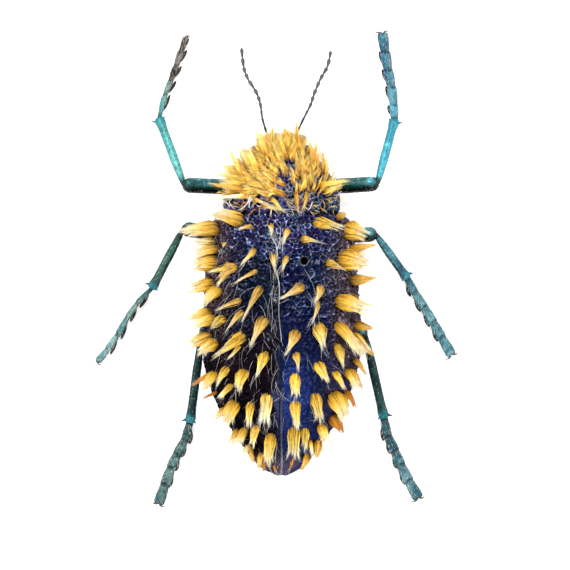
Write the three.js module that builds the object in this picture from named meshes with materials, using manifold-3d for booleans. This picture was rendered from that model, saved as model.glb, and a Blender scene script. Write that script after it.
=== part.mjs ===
// A dried brush jewel beetle, spread and set as a dry specimen, lying on its belly.
// Lengths are in millimetres. +X is the beetle's right side, +Y points to its head and +Z is up.
// The origin is on the midline, on the flat of the underside that the specimen rests on.

import * as THREE from "three";
import { mergeVertices } from "three/addons/utils/BufferGeometryUtils.js";
import Module from "manifold-3d";

const wasm = await Module();
wasm.setup();

// Driving dimensions

const ELYTRA_FRONT = 10.5;
const ELYTRA_TIP = -15.4;
const ELYTRON_WALL = 0.7;
const SUTURE_GAP = 0.1;
const PLATE_GAP = 0.15;
const LEDGE = 0.3;
const PRONOTUM_FRONT = 17.7;
const PRONOTUM_REAR = 10.7;
const THORAX_REAR = -0.6;
const BELLY_EDGES = [-0.7, -4.4, -7.4, -10, -12.3, -14.4];
const PLATE_STEP = 0.12;
const HEAD_BACK = 17.85;
const KEEL_HALF_WIDTH = 2.6;
const DOME_POWER = 2.4;
const PIN_HOLE = { x: 2.25, y: 5.9, radius: 0.36 };
const JOINT_GAP = 0.12;
const TUFT_ROOT = 0.35;
const TUFT_SIDES = 4;

// Profiles along the body, as [y, value] stops from head to tail

const elytra = {
  halfWidth: profile(
    [10.5, 6.75], [9, 7.1], [5, 7.45], [0.5, 7.75], [-1.5, 7.82], [-4, 7.7], [-6.5, 7.05],
    [-8.5, 6.3], [-10.5, 5.2], [-12.3, 4], [-13.7, 2.9], [-14.7, 1.9], [-15.4, 0.8],
  ),
  top: profile(
    [10.5, 10.1], [7, 11.4], [2, 12], [-3, 11.6], [-8, 9.7], [-12, 7.1], [-14.5, 4.9], [-15.4, 3.9],
  ),
  side: profile([10.5, 4.9], [2, 4.8], [-6, 4.4], [-12, 3.6], [-15.4, 3]),
};
const belly = profile([10.5, 0.3], [8.5, 0], [-7, 0], [-10, 0.5], [-13, 1.7], [-14.6, 2.6]);
const pronotum = {
  halfWidth: profile(
    [17.7, 2.5], [17.3, 2.9], [16, 3.75], [14.6, 4.75], [13.3, 5.45], [12, 5.8], [10.7, 5.75],
  ),
  top: profile([17.7, 7.3], [16, 8.5], [14, 9.4], [12, 9.9], [10.7, 9.9]),
  side: profile([17.7, 4.8], [14, 4.8], [10.7, 4.7]),
  bottom: profile([17.7, 2.3], [16, 1.3], [13, 0.4], [10.7, 0.7]),
};

// Locks of hair, each as [root x, root y, tip x, tip y, width], seen from above

const LEFT_TUFTS = [
  [-4.1, 9.9, -6.9, 10.7, 1.4], [-7.3, 9.1, -9.4, 8.7, 1.4], [-7.3, 7.9, -8.4, 7.8, 0.6],
  [-6.5, 7.2, -9, 6.5, 0.8], [-7, 6.3, -9.2, 5.9, 0.9], [-6.9, 5.3, -8.2, 4.8, 1],
  [-4.6, 5.3, -6.5, 3.7, 1.2], [-5.5, 5, -7, 4.7, 0.6], [-2.5, 6.8, -3.9, 5.6, 0.6],
  [-1, 9.2, -0.6, 7.4, 0.7], [-0.8, 6.4, -0.5, 4.8, 0.6],
  [-7.5, 3.6, -8.9, 3, 1.1], [-6.2, 2.8, -8.5, 2, 1.1], [-1.9, 3.1, -3.6, 0.3, 1],
  [-4.1, 1.9, -6.8, 0.5, 0.9], [-7.4, 0.8, -9, 0.1, 0.9], [-5.5, 0.2, -7.6, -1, 1.1],
  [-6.8, 0.2, -8.5, -0.6, 1.2], [-3.9, 0.7, -5.9, -1.4, 0.7], [-1.7, 0.1, -3.1, -2.6, 1.2],
  [-3.6, -1.4, -6.8, -3.7, 1.4], [-7.6, -1.7, -9, -2.5, 1.1], [-6.8, -2.2, -8, -3.1, 1.2],
  [-1.5, -3.4, -2.4, -5.8, 1.1], [-5.3, -4.9, -6.5, -7, 1], [-6.6, -5.4, -7.6, -7, 0.9],
  [-7.3, -5.4, -8.8, -6.4, 0.6], [-3.5, -5.4, -4.7, -7.3, 1.4], [-5, -6.5, -6.2, -8, 0.8],
  [-4.5, -8.5, -5.4, -10.1, 1.4], [-5.6, -8.8, -6.8, -9.9, 0.7],
  [-2.9, -8.5, -3.4, -10.7, 0.9], [-1.3, -7.8, -1.9, -10.5, 1.3], [-3.5, -10.8, -4.3, -12.2, 0.9],
  [-4.4, -11, -5, -12.4, 0.6], [-2.4, -10.7, -3.1, -12.8, 0.9], [-1, -11.6, -1.8, -14.8, 1],
  [-3.1, -12.7, -3.8, -13.2, 0.5], [-2, -13.7, -2.1, -15, 0.6],
];
const RIGHT_TUFTS = [
  [3.7, 9.8, 5.9, 9.2, 1.3], [6, 10.1, 6.9, 10.3, 0.6], [7, 9, 8.8, 9.1, 1.6],
  [2.1, 8, 3.7, 7.9, 0.8], [0.7, 8.9, 0.3, 7.4, 0.8], [0.7, 6.2, 0.2, 4.8, 0.7],
  [4.6, 5.8, 6.6, 5, 0.9], [6.5, 5.8, 8.4, 5.3, 1.8], [7.3, 7.2, 9.3, 7.5, 0.9],
  [7.5, 4.1, 9.6, 4.1, 1], [2.1, 3.2, 0.2, 2.1, 1.3], [4, 3.2, 3, 1, 1],
  [5.8, 2.2, 7.3, 0.7, 1.2], [7.1, 2, 9, 0.9, 1.2], [7.7, -0.4, 9.3, -0.8, 0.8],
  [5.6, -0.5, 7.3, -3, 1.2], [7.2, -1.6, 8.6, -3, 1], [3.7, -0.8, 4.3, -3, 1.4],
  [1.5, -1.6, 0.4, -3.5, 1.2], [1.4, -3.6, 1.2, -4.4, 0.8], [5.6, -2.8, 6.2, -4.8, 0.8],
  [3.6, -4.4, 4.6, -6.3, 1.2], [1.4, -5.7, 1.5, -7.8, 1.1], [5.4, -5.4, 6.3, -7.1, 0.9],
  [6.8, -5.3, 7.6, -6.4, 1], [8.1, -2.5, 9.1, -3.2, 0.6], [7.8, -4, 8.5, -5.4, 0.5],
  [7.8, -5.8, 8.2, -7, 0.5], [3.6, -7.7, 3.9, -10.1, 1.1], [5.6, -7.7, 6.2, -9.7, 1.5],
  [6.9, -7.4, 7.4, -8.9, 0.7], [1.3, -8.5, 1.6, -10.7, 1.2], [1.5, -11, 1.3, -13.7, 1.3],
  [2.4, -11, 2.5, -12.6, 0.9], [4.1, -10.7, 4.5, -12.2, 0.9], [5.5, -10.1, 6.1, -11.2, 1.1],
  [3.9, -12.2, 3.6, -13.6, 0.7],
];
const NECK_TUFTS = [
  [-4.5, 15.2, -5, 16.8, 0.7], [-4.6, 14.3, -5.9, 15, 1], [-4.3, 14.8, -5.6, 16, 1],
  [-4.1, 13.8, -5.9, 14, 1], [-3.8, 13.2, -5.7, 13.2, 0.8], [-5.2, 13.2, -7, 13.5, 0.4],
  [-2.9, 15.2, -3.8, 16.5, 1], [-2.3, 15.5, -3.1, 16.8, 1], [-1.3, 16.4, -2.3, 19, 1],
  [-0.7, 15.5, -1.6, 18, 1], [-0.4, 17.1, -0.8, 19.6, 0.9], [0, 15.5, -0.5, 17.5, 0.9],
  [1.1, 17, 1.5, 19.8, 0.8], [1.3, 15.5, 1.2, 17.5, 0.8], [1.9, 15.2, 2.2, 17.5, 0.9],
  [3.1, 14.8, 3.5, 16.8, 0.8], [3.7, 14, 3.9, 16.2, 0.8], [4.3, 14, 4.1, 16.9, 0.7],
  [4.1, 13.4, 6.5, 13.8, 0.6], [4.7, 12.9, 5.6, 13.1, 0.8], [0.6, 13.5, -1.9, 14, 1],
  [0.5, 12.4, -1.9, 13.3, 0.9], [-1.1, 12.2, -3.1, 13, 0.8], [-2.3, 12.8, -4.1, 13.4, 0.8],
  [-2.6, 12.2, -5.3, 12.3, 0.8], [1.7, 13, 1.8, 11, 0.6], [3.1, 12.8, 2.5, 11.1, 0.6],
  [-2.3, 14.5, -3.5, 15.4, 0.9],
];

// Legs: the coxa's centre, the knee, the ankle, and the end of each foot joint as seen from above
// The tuck is the angle, in degrees, that the sole is turned in towards the body.

const FOOT_HEIGHTS = [0.85, 0.8, 0.76, 0.74, 0.74];
const LEGS = [
  {
    name: "front_left",
    side: -1,
    tuck: 70,
    coxa: [-1.7, 13.2, 1.15],
    knee: [-9.75, 13.5, 3.4],
    ankle: [-12.3, 20.25, 1.1],
    foot: [[-11.8, 22.35], [-11.2, 23.85], [-10.65, 25.35], [-10.1, 26.95], [-9.55, 28.4]],
  },
  {
    name: "front_right",
    side: 1,
    tuck: 45,
    coxa: [1.7, 13.2, 1.15],
    knee: [9.6, 13.65, 3.4],
    ankle: [11.35, 20.1, 1.1],
    foot: [[11.3, 21.4], [11.1, 23.2], [10.75, 24.9], [10.45, 26.7], [10.15, 28.8]],
  },
  {
    name: "middle_left",
    side: -1,
    tuck: 65,
    coxa: [-1.9, 8.2, 0.8],
    knee: [-9.85, 9.1, 3.4],
    ankle: [-13, 3.2, 1.1],
    foot: [[-14.4, 1.8], [-15.4, 0.4], [-16.35, -1.3], [-17.4, -2.85], [-18.45, -4.15]],
  },
  {
    name: "middle_right",
    side: 1,
    tuck: 40,
    coxa: [1.9, 8.2, 0.8],
    knee: [9.4, 8.6, 3.4],
    ankle: [12.6, 4.2, 1.1],
    foot: [[13.3, 2.9], [14.25, 1.4], [15.15, -0.1], [16, -1.6], [17.1, -3.5]],
  },
  {
    name: "hind_left",
    side: -1,
    tuck: 35,
    coxa: [-1.9, 1.6, 0.8],
    knee: [-8, -1.5, 3],
    ankle: [-9.2, -10.3, 1.1],
    foot: [[-9.65, -11.95], [-10.4, -13.35], [-11.05, -14.75], [-11.65, -16.35], [-12.35, -18.45]],
  },
  {
    name: "hind_right",
    side: 1,
    tuck: 35,
    coxa: [1.9, 1.6, 0.8],
    knee: [8.4, -1.55, 3],
    ankle: [10.3, -9.85, 1.1],
    foot: [[10.65, -11.6], [11.3, -13], [11.9, -14.45], [12.7, -16.05], [13.75, -17.9]],
  },
];

// Antennae, from the brow to the tip

const ANTENNAE = {
  left: [
    [-1.4, 18.4, 5], [-1.9, 20.1, 4.9], [-2.1, 21.5, 4.7], [-2.5, 22.7, 4.5], [-3.4, 24.2, 4.2],
    [-3.8, 25.4, 4], [-4, 27.3, 3.7],
  ],
  right: [
    [1.4, 18.4, 5], [2.2, 20.1, 4.9], [2.9, 21.5, 4.7], [3.3, 22.7, 4.5], [3.9, 24.1, 4.2],
    [4.6, 25.4, 4], [4.95, 27, 3.7],
  ],
};
const ANTENNA_JOINTS = 11;

// Materials

function paint(color, roughness, metalness) {
  return new THREE.MeshStandardMaterial({ color, roughness, metalness });
}

const materials = {
  wingCase: paint(0x16164f, 0.35, 0.6),
  shield: paint(0x1b1a52, 0.4, 0.6),
  underside: paint(0x14203f, 0.4, 0.5),
  leg: paint(0x1f8f93, 0.35, 0.6),
  foot: paint(0x2a7f95, 0.45, 0.4),
  antenna: paint(0x2f3a3c, 0.5, 0.3),
  eye: paint(0x3a2a1c, 0.2, 0),
};

// Geometry helpers

// A smooth curve through [y, value] stops in falling order of y, as a function of y.
// It stays flat between equal stops and never swings past a highest or lowest one.
function profile(...stops) {
  const last = stops.length - 1;
  const slopes = stops.map(([, v], i) => {
    const [y0, v0] = stops[Math.max(i - 1, 0)];
    const [y1, v1] = stops[Math.min(i + 1, last)];
    const turns = i > 0 && i < last && (v - v0) * (v1 - v) <= 0;
    return turns ? 0 : (v1 - v0) / (y1 - y0);
  });
  return (y) => {
    const next = stops.findIndex(([stopY], i) => i > 0 && y >= stopY);
    const i = (next < 0 ? last : next) - 1;
    const [y0, v0] = stops[i];
    const [y1, v1] = stops[i + 1];
    const step = y1 - y0;
    const t = THREE.MathUtils.clamp((y - y0) / step, 0, 1);
    const fromStart = v0 * (1 + 2 * t) + slopes[i] * step * t;
    const fromEnd = v1 * (3 - 2 * t) - slopes[i + 1] * step * (1 - t);
    return fromStart * (1 - t) ** 2 + fromEnd * t ** 2;
  };
}

// Evenly spaced values, both ends included.
function spaced(from, to, count) {
  return Array.from({ length: count }, (_, i) => from + ((to - from) * i) / (count - 1));
}

// A geometry from points and triangles, turned so that its faces point out.
function closed(points, triangles) {
  let volume = 0;
  for (let i = 0; i < triangles.length; i += 3) {
    const [a, b, c] = triangles.slice(i, i + 3).map((n) => points[n]);
    volume += a.dot(b.clone().cross(c));
  }
  const index = volume < 0 ? [...triangles].reverse() : triangles;
  return new THREE.BufferGeometry().setFromPoints(points).setIndex(index);
}

// A closed solid between two sheets of points with the same rows and columns.
function thickSheet(outer, inner) {
  const rows = outer.length;
  const columns = outer[0].length;
  const front = (r, c) => r * columns + c;
  const back = (r, c) => (rows + r) * columns + c;
  const triangles = [];
  const quad = (a, b, c, d) => triangles.push(a, b, c, a, c, d);
  for (let r = 0; r < rows - 1; r++) {
    for (let c = 0; c < columns - 1; c++) {
      quad(front(r, c), front(r, c + 1), front(r + 1, c + 1), front(r + 1, c));
      quad(back(r, c), back(r + 1, c), back(r + 1, c + 1), back(r, c + 1));
    }
    quad(front(r, 0), front(r + 1, 0), back(r + 1, 0), back(r, 0));
    quad(front(r + 1, columns - 1), front(r, columns - 1), back(r, columns - 1), back(r + 1, columns - 1));
  }
  for (let c = 0; c < columns - 1; c++) {
    quad(front(0, c + 1), front(0, c), back(0, c), back(0, c + 1));
    quad(front(rows - 1, c), front(rows - 1, c + 1), back(rows - 1, c + 1), back(rows - 1, c));
  }
  return closed([...outer.flat(), ...inner.flat()], triangles);
}

// A closed solid through rings of points, with a fan to a centre point over each end.
function loft(rings, startCentre, endCentre) {
  const count = rings[0].length;
  const last = (rings.length - 1) * count;
  const points = [...rings.flat(), startCentre, endCentre];
  const triangles = [];
  for (let i = 0; i < count; i++) {
    const j = (i + 1) % count;
    for (let ring = 0; ring < last; ring += count) {
      triangles.push(ring + i, ring + j, ring + count + j, ring + i, ring + count + j, ring + count + i);
    }
    triangles.push(points.length - 2, j, i, points.length - 1, last + i, last + j);
  }
  return closed(points, triangles);
}

// A limb along a path: each station is [point, half width, half depth], and depth runs along sole.
// It ends flat at its last station, or in a point at the tip when one is given.
function limb(stations, sides, sole, tip = stations.at(-1)[0]) {
  const path = [...stations.map(([point]) => point), tip];
  const rings = stations.map(([point, halfWidth, halfDepth], i) => {
    const before = path[Math.max(i - 1, 0)];
    const after = path[i + 1];
    const axis = after.clone().sub(before).normalize();
    const across = new THREE.Vector3().crossVectors(axis, sole).normalize();
    const down = new THREE.Vector3().crossVectors(across, axis);
    return spaced(0, 2 * Math.PI, sides + 1).slice(0, sides).map((angle) => point.clone()
      .addScaledVector(across, halfWidth * Math.cos(angle))
      .addScaledVector(down, halfDepth * Math.sin(angle)));
  });
  return loft(rings, path[0], tip);
}

function ellipsoid(centre, radii, across, down) {
  return new THREE.SphereGeometry(1, across, down).scale(...radii).translate(...centre);
}

function toSolid(geometry) {
  const bare = geometry.clone().deleteAttribute("normal").deleteAttribute("uv");
  const merged = mergeVertices(bare, 1e-4);
  const vertProperties = merged.attributes.position.array;
  const triVerts = new Uint32Array(merged.index.array);
  return new wasm.Manifold(new wasm.Mesh({ numProp: 3, vertProperties, triVerts }));
}

function toGeometry(solid) {
  const { vertProperties, triVerts } = solid.getMesh();
  return new THREE.BufferGeometry()
    .setAttribute("position", new THREE.BufferAttribute(new Float32Array(vertProperties), 3))
    .setIndex(new THREE.BufferAttribute(new Uint32Array(triVerts), 1));
}

function join(...shapes) {
  return toGeometry(shapes.map(toSolid).reduce((whole, shape) => whole.add(shape)));
}

function cut(shape, ...tools) {
  return toGeometry(tools.map(toSolid).reduce((whole, tool) => whole.subtract(tool), toSolid(shape)));
}

const beetle = new THREE.Group();
beetle.name = "beetle";

function addPiece(name, geometry, material) {
  const mesh = new THREE.Mesh(geometry, material);
  mesh.name = name;
  beetle.add(mesh);
}

// Surfaces of the back, from the same domed section

function domeSection(form, y, inset, angle) {
  const halfWidth = form.halfWidth(y) - inset;
  const rise = form.top(y) - inset - form.side(y);
  const x = halfWidth * Math.sin(angle) ** (2 / DOME_POWER);
  const z = form.side(y) + rise * Math.max(Math.cos(angle), 0) ** (2 / DOME_POWER);
  return [x, z];
}

function domeHeight(form, x, y) {
  const share = Math.min(Math.abs(x) / form.halfWidth(y), 1);
  return form.side(y) + (form.top(y) - form.side(y)) * (1 - share ** DOME_POWER) ** (1 / DOME_POWER);
}

// A lock of hair on a domed back: a cone that rises from the skin and leans over to its tip.
function tuft(form, [x, y, tipX, tipY, width]) {
  const edge = 0.955 * form.halfWidth(y);
  const rootX = THREE.MathUtils.clamp(x, -edge, edge);
  const root = new THREE.Vector3(rootX, y, domeHeight(form, rootX, y));
  const step = 0.05;
  const slopeX = (domeHeight(form, rootX + step, y) - domeHeight(form, rootX - step, y)) / (2 * step);
  const slopeY = (domeHeight(form, rootX, y + step) - domeHeight(form, rootX, y - step)) / (2 * step);
  const outward = new THREE.Vector3(-slopeX, -slopeY, 1).normalize();
  const lean = new THREE.Vector3(tipX - rootX, tipY - y, 0);
  const beyond = Math.abs(tipX) > form.halfWidth(tipY);
  const tipZ = beyond ? root.z + 0.1 * lean.length() : domeHeight(form, tipX, tipY) + 0.4;
  const tip = new THREE.Vector3(tipX, tipY, Math.max(tipZ, root.z - 0.6 * lean.length()));
  const buried = root.clone().addScaledVector(outward, -TUFT_ROOT);
  const crest = root.clone().lerp(tip, 0.3).addScaledVector(outward, 0.3 + 0.25 * width);
  const stations = [[buried, 0.4 * width, 0.34 * width], [crest, 0.5 * width, 0.36 * width]];
  return limb(stations, TUFT_SIDES, outward, tip);
}

// Wing cases

const WING_ROWS = 14;
const WING_COLUMNS = 8;

function wingSheet(side, inset) {
  return spaced(ELYTRA_FRONT, ELYTRA_TIP, WING_ROWS).map((y) => {
    const thin = Math.min(inset, 0.35 * elytra.halfWidth(y));
    return spaced(0, Math.PI / 2, WING_COLUMNS).map((angle) => {
      const [x, z] = domeSection(elytra, y, thin, angle);
      return new THREE.Vector3(side * Math.max(x, SUTURE_GAP / 2), y, z);
    });
  });
}

function pinHole(bottom, top) {
  const { x, y, radius } = PIN_HOLE;
  const bore = new THREE.CylinderGeometry(radius, radius, top - bottom, 10).rotateX(Math.PI / 2);
  return bore.translate(x, y, (bottom + top) / 2);
}

function wingCase(side, tufts) {
  const shell = thickSheet(wingSheet(side, 0), wingSheet(side, ELYTRON_WALL));
  return join(shell, ...tufts.map((each) => tuft(elytra, each)));
}

const farSide = (side) => new THREE.BoxGeometry(20, 60, 40).translate(side * (SUTURE_GAP / 2 - 10), 0, 10);
addPiece("left_elytron", cut(wingCase(-1, LEFT_TUFTS), farSide(-1)), materials.wingCase);
addPiece("right_elytron", cut(wingCase(1, RIGHT_TUFTS), farSide(1), pinHole(8, 15)), materials.wingCase);

// Thighs and the way a leg runs

const COXA = [1, 1.05, 0.78];
const FEMUR = [[0, 0.5], [0.2, 0.66], [0.55, 0.76], [0.85, 0.7], [1, 0.45]];
const TIBIA = [[0, 0.24, 0.26], [0.12, 0.32, 0.3], [0.45, 0.42, 0.36], [0.9, 0.44, 0.38], [1, 0.42, 0.34]];
const FOOT_WIDTH = 0.58;
const FOOT_DEPTH = 0.3;
const PAD_DROP = 0.1;
const KNEE_REACH = 0.1;
const DOWN = new THREE.Vector3(0, 0, -1);

// The way in towards the midline, level and square to an axis.
function inwards(axis, side) {
  const level = new THREE.Vector3(-axis.y, axis.x, 0).normalize();
  return level.x * side > 0 ? level.negate() : level;
}

function legPoints(leg) {
  const [hip, knee, ankle] = [leg.coxa, leg.knee, leg.ankle].map((point) => new THREE.Vector3(...point));
  const ends = leg.foot.map(([x, y], i) => new THREE.Vector3(x, y, FOOT_HEIGHTS[i]));
  const heel = ankle.clone().lerp(ends[0], JOINT_GAP / ankle.distanceTo(ends[0]));
  return { hip, knee, ankle, foot: [heel, ...ends] };
}

// A thigh runs a little past the knee, and the shin's head sits in its end.
function femur({ hip, knee }, grow) {
  const axis = knee.clone().sub(hip).normalize();
  const start = hip.clone().addScaledVector(axis, COXA[0] + 0.3 - grow);
  const end = knee.clone().addScaledVector(axis, KNEE_REACH);
  const stations = FEMUR.map(([share, half]) => [start.clone().lerp(end, share), half + grow, half + grow]);
  return limb(stations, 7, DOWN);
}

function shaft({ knee, ankle }, grow) {
  const at = (share) => knee.clone().lerp(ankle, share);
  const stations = TIBIA.map(([share, width, depth]) => [at(share), width + grow, depth + grow]);
  stations[0][0].addScaledVector(ankle.clone().sub(knee).normalize(), -grow);
  return limb(stations, 6, DOWN);
}

// Thorax and abdomen under the wing cases

const TRUNK_ARC = 5;

// One section across the trunk; the inset draws its underside in.
function trunkRing(y, inset) {
  const ledge = elytra.side(y) - PLATE_GAP;
  const width = elytra.halfWidth(y) - LEDGE - inset;
  const keel = Math.min(KEEL_HALF_WIDTH, 0.35 * width);
  const wall = Math.min(ELYTRON_WALL, 0.35 * elytra.halfWidth(y)) + PLATE_GAP;
  const low = belly(y) + inset;
  const half = [[keel, low], [0.75 * width, low + 0.5 * (ledge - low)], [width, ledge - 0.5], [width, ledge]];
  for (const angle of spaced(Math.PI / 2, 0, TRUNK_ARC)) {
    const [x, z] = domeSection(elytra, y, wall, angle);
    half.push([x, angle === Math.PI / 2 ? ledge : z]);
  }
  const right = half.map(([x, z]) => new THREE.Vector3(x, y, z));
  const left = half.slice(0, -1).map(([x, z]) => new THREE.Vector3(-x, y, z)).reverse();
  return [...right, ...left];
}

function trunk(stations) {
  const rings = stations.map(([y, inset]) => trunkRing(y, inset));
  const centre = ([y]) => new THREE.Vector3(0, y, (belly(y) + elytra.side(y)) / 2);
  return loft(rings, centre(stations[0]), centre(stations.at(-1)));
}

// The belly plates, each stepping up to the next one behind it.
function bellyPlates(edges) {
  return edges.slice(1).flatMap((rear, i) => [[edges[i] - PLATE_STEP / 2, PLATE_STEP], [rear, 0]]);
}

const coxa = (leg, grow) => ellipsoid(leg.coxa, COXA.map((radius) => radius + grow), 8, 4);
const sockets = (legs) => legs.flatMap((leg) => [coxa(leg, JOINT_GAP), femur(legPoints(leg), JOINT_GAP)]);

const thorax = trunk(spaced(ELYTRA_FRONT - PLATE_GAP, THORAX_REAR, 6).map((y) => [y, 0]));
const abdomen = trunk(bellyPlates(BELLY_EDGES));
addPiece("thorax", cut(thorax, ...sockets(LEGS.slice(2)), pinHole(-1, 13)), materials.underside);
addPiece("abdomen", cut(abdomen, ...sockets(LEGS.slice(4))), materials.underside);

// Pronotum: the shield behind the head, one ring with its underside

const SHIELD_ARC = 6;

function shieldRing(y) {
  const width = pronotum.halfWidth(y);
  const low = pronotum.bottom(y);
  const keel = 0.4 * width;
  const half = [[keel, low], [0.88 * width, low + 0.55 * (pronotum.side(y) - low)]];
  half.push(...spaced(Math.PI / 2, 0, SHIELD_ARC).map((angle) => domeSection(pronotum, y, 0, angle)));
  const right = half.map(([x, z]) => new THREE.Vector3(x, y, z));
  const left = half.slice(0, -1).map(([x, z]) => new THREE.Vector3(-x, y, z)).reverse();
  return [...right, ...left];
}

const shieldCentre = (y) => new THREE.Vector3(0, y, pronotum.side(y));
const shieldRings = spaced(PRONOTUM_REAR, PRONOTUM_FRONT, 8).map(shieldRing);
const shield = loft(shieldRings, shieldCentre(PRONOTUM_REAR), shieldCentre(PRONOTUM_FRONT));
const tuftedShield = join(shield, ...NECK_TUFTS.map((each) => tuft(pronotum, each)));
const wingSide = new THREE.BoxGeometry(30, 10, 30).translate(0, PRONOTUM_REAR - 5, 5);
addPiece("pronotum", cut(tuftedShield, ...sockets(LEGS.slice(0, 2)), wingSide), materials.shield);

// Head, eyes and jaws

const HEAD = { centre: [0, HEAD_BACK, 4.4], radii: [2.4, 0.85, 2.8] };
const JAW = [[1.05, 18, 2.5], [0.95, 18.45, 1.5], [0.35, 18.6, 0.9]];
const EYE = { x: 2.05, y: 18.05, z: 5.1, radii: [0.5, 0.5, 1.1] };
const eyeball = (side, grow) => ellipsoid([side * EYE.x, EYE.y, EYE.z], EYE.radii.map((r) => r + grow), 8, 6);
const neckSide = new THREE.BoxGeometry(20, 4, 20).translate(0, HEAD_BACK - 2, 5);
const browSocket = (side) => ellipsoid([side * 1.4, 18.5, 5], [0.25, 0.35, 0.25], 6, 4);
const headHoles = [-1, 1].flatMap((side) => [eyeball(side, 0.08), browSocket(side)]);
const overhead = NECK_TUFTS.filter(([, , , tipY]) => tipY > PRONOTUM_FRONT - 0.5);
const hairRoom = overhead.map(([x, y, tipX, tipY, width]) => tuft(pronotum, [x, y, tipX, tipY, width + 0.3]));
const skull = (grow) => ellipsoid(HEAD.centre, HEAD.radii.map((radius) => radius + grow), 12, 8);
addPiece("head", cut(skull(0), neckSide, ...headHoles, ...hairRoom), materials.shield);

for (const [name, side] of [["left", -1], ["right", 1]]) {
  addPiece(`${name}_eye`, cut(eyeball(side, 0), neckSide), materials.eye);
  const [root, bend, point] = JAW.map(([x, y, z]) => new THREE.Vector3(side * x, y, z));
  const jaw = limb([[root, 0.42, 0.42], [bend, 0.34, 0.34]], 6, new THREE.Vector3(0, 1, 0), point);
  addPiece(`${name}_mandible`, cut(jaw, skull(JOINT_GAP)), materials.antenna);
}

// Antennae: a slim stalk of joints that widen into small teeth

for (const [name, route] of Object.entries(ANTENNAE)) {
  const curve = new THREE.CatmullRomCurve3(route.map((point) => new THREE.Vector3(...point)));
  const stations = [];
  for (let joint = 0; joint < ANTENNA_JOINTS; joint++) {
    const toothed = joint > 2 ? 1 : 0;
    const start = joint / ANTENNA_JOINTS;
    const wide = start + 0.75 / ANTENNA_JOINTS;
    stations.push([curve.getPoint(start), 0.08, 0.08]);
    stations.push([curve.getPoint(wide), 0.1 + 0.05 * toothed, 0.09]);
  }
  addPiece(`${name}_antenna`, limb(stations, 4, DOWN, curve.getPoint(1)), materials.antenna);
}

// Legs, from the knee down

function tibia(leg, points) {
  const { knee, ankle } = points;
  const axis = ankle.clone().sub(knee).normalize();
  const outer = inwards(axis, leg.side).negate();
  const root = ankle.clone().addScaledVector(axis, -0.5);
  const point = ankle.clone().addScaledVector(axis, -0.05).addScaledVector(outer, 0.72);
  return join(shaft(points, 0), limb([[root, 0.26, 0.26]], 4, DOWN, point));
}

// Five joints that widen into padded lobes, and a pair of claws.
function tarsus(leg, { foot }) {
  const run = foot.at(-1).clone().sub(foot[0]).normalize();
  const tuck = THREE.MathUtils.degToRad(leg.tuck);
  const inner = inwards(run, leg.side);
  const sole = DOWN.clone().multiplyScalar(Math.cos(tuck)).addScaledVector(inner, Math.sin(tuck));
  const stations = foot.slice(1).flatMap((end, i) => {
    const at = (share) => foot[i].clone().lerp(end, share);
    return [
      [at(i === 0 ? 0 : 0.08), 0.68 * FOOT_WIDTH, 0.6 * FOOT_DEPTH],
      [at(0.75).addScaledVector(sole, PAD_DROP), FOOT_WIDTH, FOOT_DEPTH],
      [at(1).addScaledVector(sole, PAD_DROP), 0.8 * FOOT_WIDTH, 0.75 * FOOT_DEPTH],
    ];
  });
  const across = new THREE.Vector3().crossVectors(run, sole).normalize();
  const end = stations.at(-1)[0];
  const claws = [-1, 1].map((way) => {
    const bend = end.clone().addScaledVector(run, 0.2).addScaledVector(across, 0.34 * way);
    const point = end.clone().addScaledVector(across, 0.62 * way).addScaledVector(sole, 0.2);
    return limb([[end.clone().addScaledVector(run, -0.2), 0.13, 0.13], [bend, 0.1, 0.1]], 4, sole, point);
  });
  return join(limb(stations, 5, sole), ...claws);
}

for (const leg of LEGS) {
  const points = legPoints(leg);
  addPiece(`${leg.name}_coxa`, coxa(leg, 0), materials.underside);
  addPiece(`${leg.name}_femur`, cut(femur(points, 0), shaft(points, JOINT_GAP)), materials.leg);
  addPiece(`${leg.name}_tibia`, tibia(leg, points), materials.leg);
  addPiece(`${leg.name}_tarsus`, tarsus(leg, points), materials.foot);
}

export default beetle;
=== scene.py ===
"""A dried brush jewel beetle: pitted metallic cuticle, locks of hair, spread legs and padded feet.

Shapes are worked out in millimetres, in the frame of the solids: +X is the beetle's right side,
+Y points to its head, +Z is up, and z = 0 is the plane that it rests on.
"""

import math

import bpy
import numpy as np
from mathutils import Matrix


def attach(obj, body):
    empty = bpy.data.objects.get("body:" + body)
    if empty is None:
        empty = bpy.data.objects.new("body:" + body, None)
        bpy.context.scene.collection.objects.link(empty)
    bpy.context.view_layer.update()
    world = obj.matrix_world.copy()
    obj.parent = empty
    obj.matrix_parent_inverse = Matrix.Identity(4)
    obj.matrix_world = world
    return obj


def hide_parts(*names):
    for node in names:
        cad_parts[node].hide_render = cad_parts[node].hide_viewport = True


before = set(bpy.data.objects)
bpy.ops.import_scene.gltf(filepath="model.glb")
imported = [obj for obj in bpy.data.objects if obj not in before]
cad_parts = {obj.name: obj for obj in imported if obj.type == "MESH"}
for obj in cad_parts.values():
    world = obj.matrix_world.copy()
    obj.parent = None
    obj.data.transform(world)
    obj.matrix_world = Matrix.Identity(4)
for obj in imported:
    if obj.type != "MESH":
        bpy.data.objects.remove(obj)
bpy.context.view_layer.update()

MM = 0.001
random = np.random.default_rng(11)

# Sizes, in millimetres

ELYTRA_FRONT = 10.5
ELYTRA_TIP = -15.4
WALL = 0.7
LEDGE = 0.3
PLATE_GAP = 0.15
KEEL_HALF_WIDTH = 2.6
DOME_POWER = 2.4
ARC_SAMPLES = 160
PRONOTUM_FRONT = 17.7
PRONOTUM_REAR = 10.7
THORAX_REAR = -0.6
BELLY_EDGES = (-0.7, -4.4, -7.4, -10, -12.3, -14.4)
PLATE_STEP = 0.12
HEAD_BACK = 17.85
PIN_HOLE = (2.25, 5.9)
PIN_RADIUS = 0.36


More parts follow.
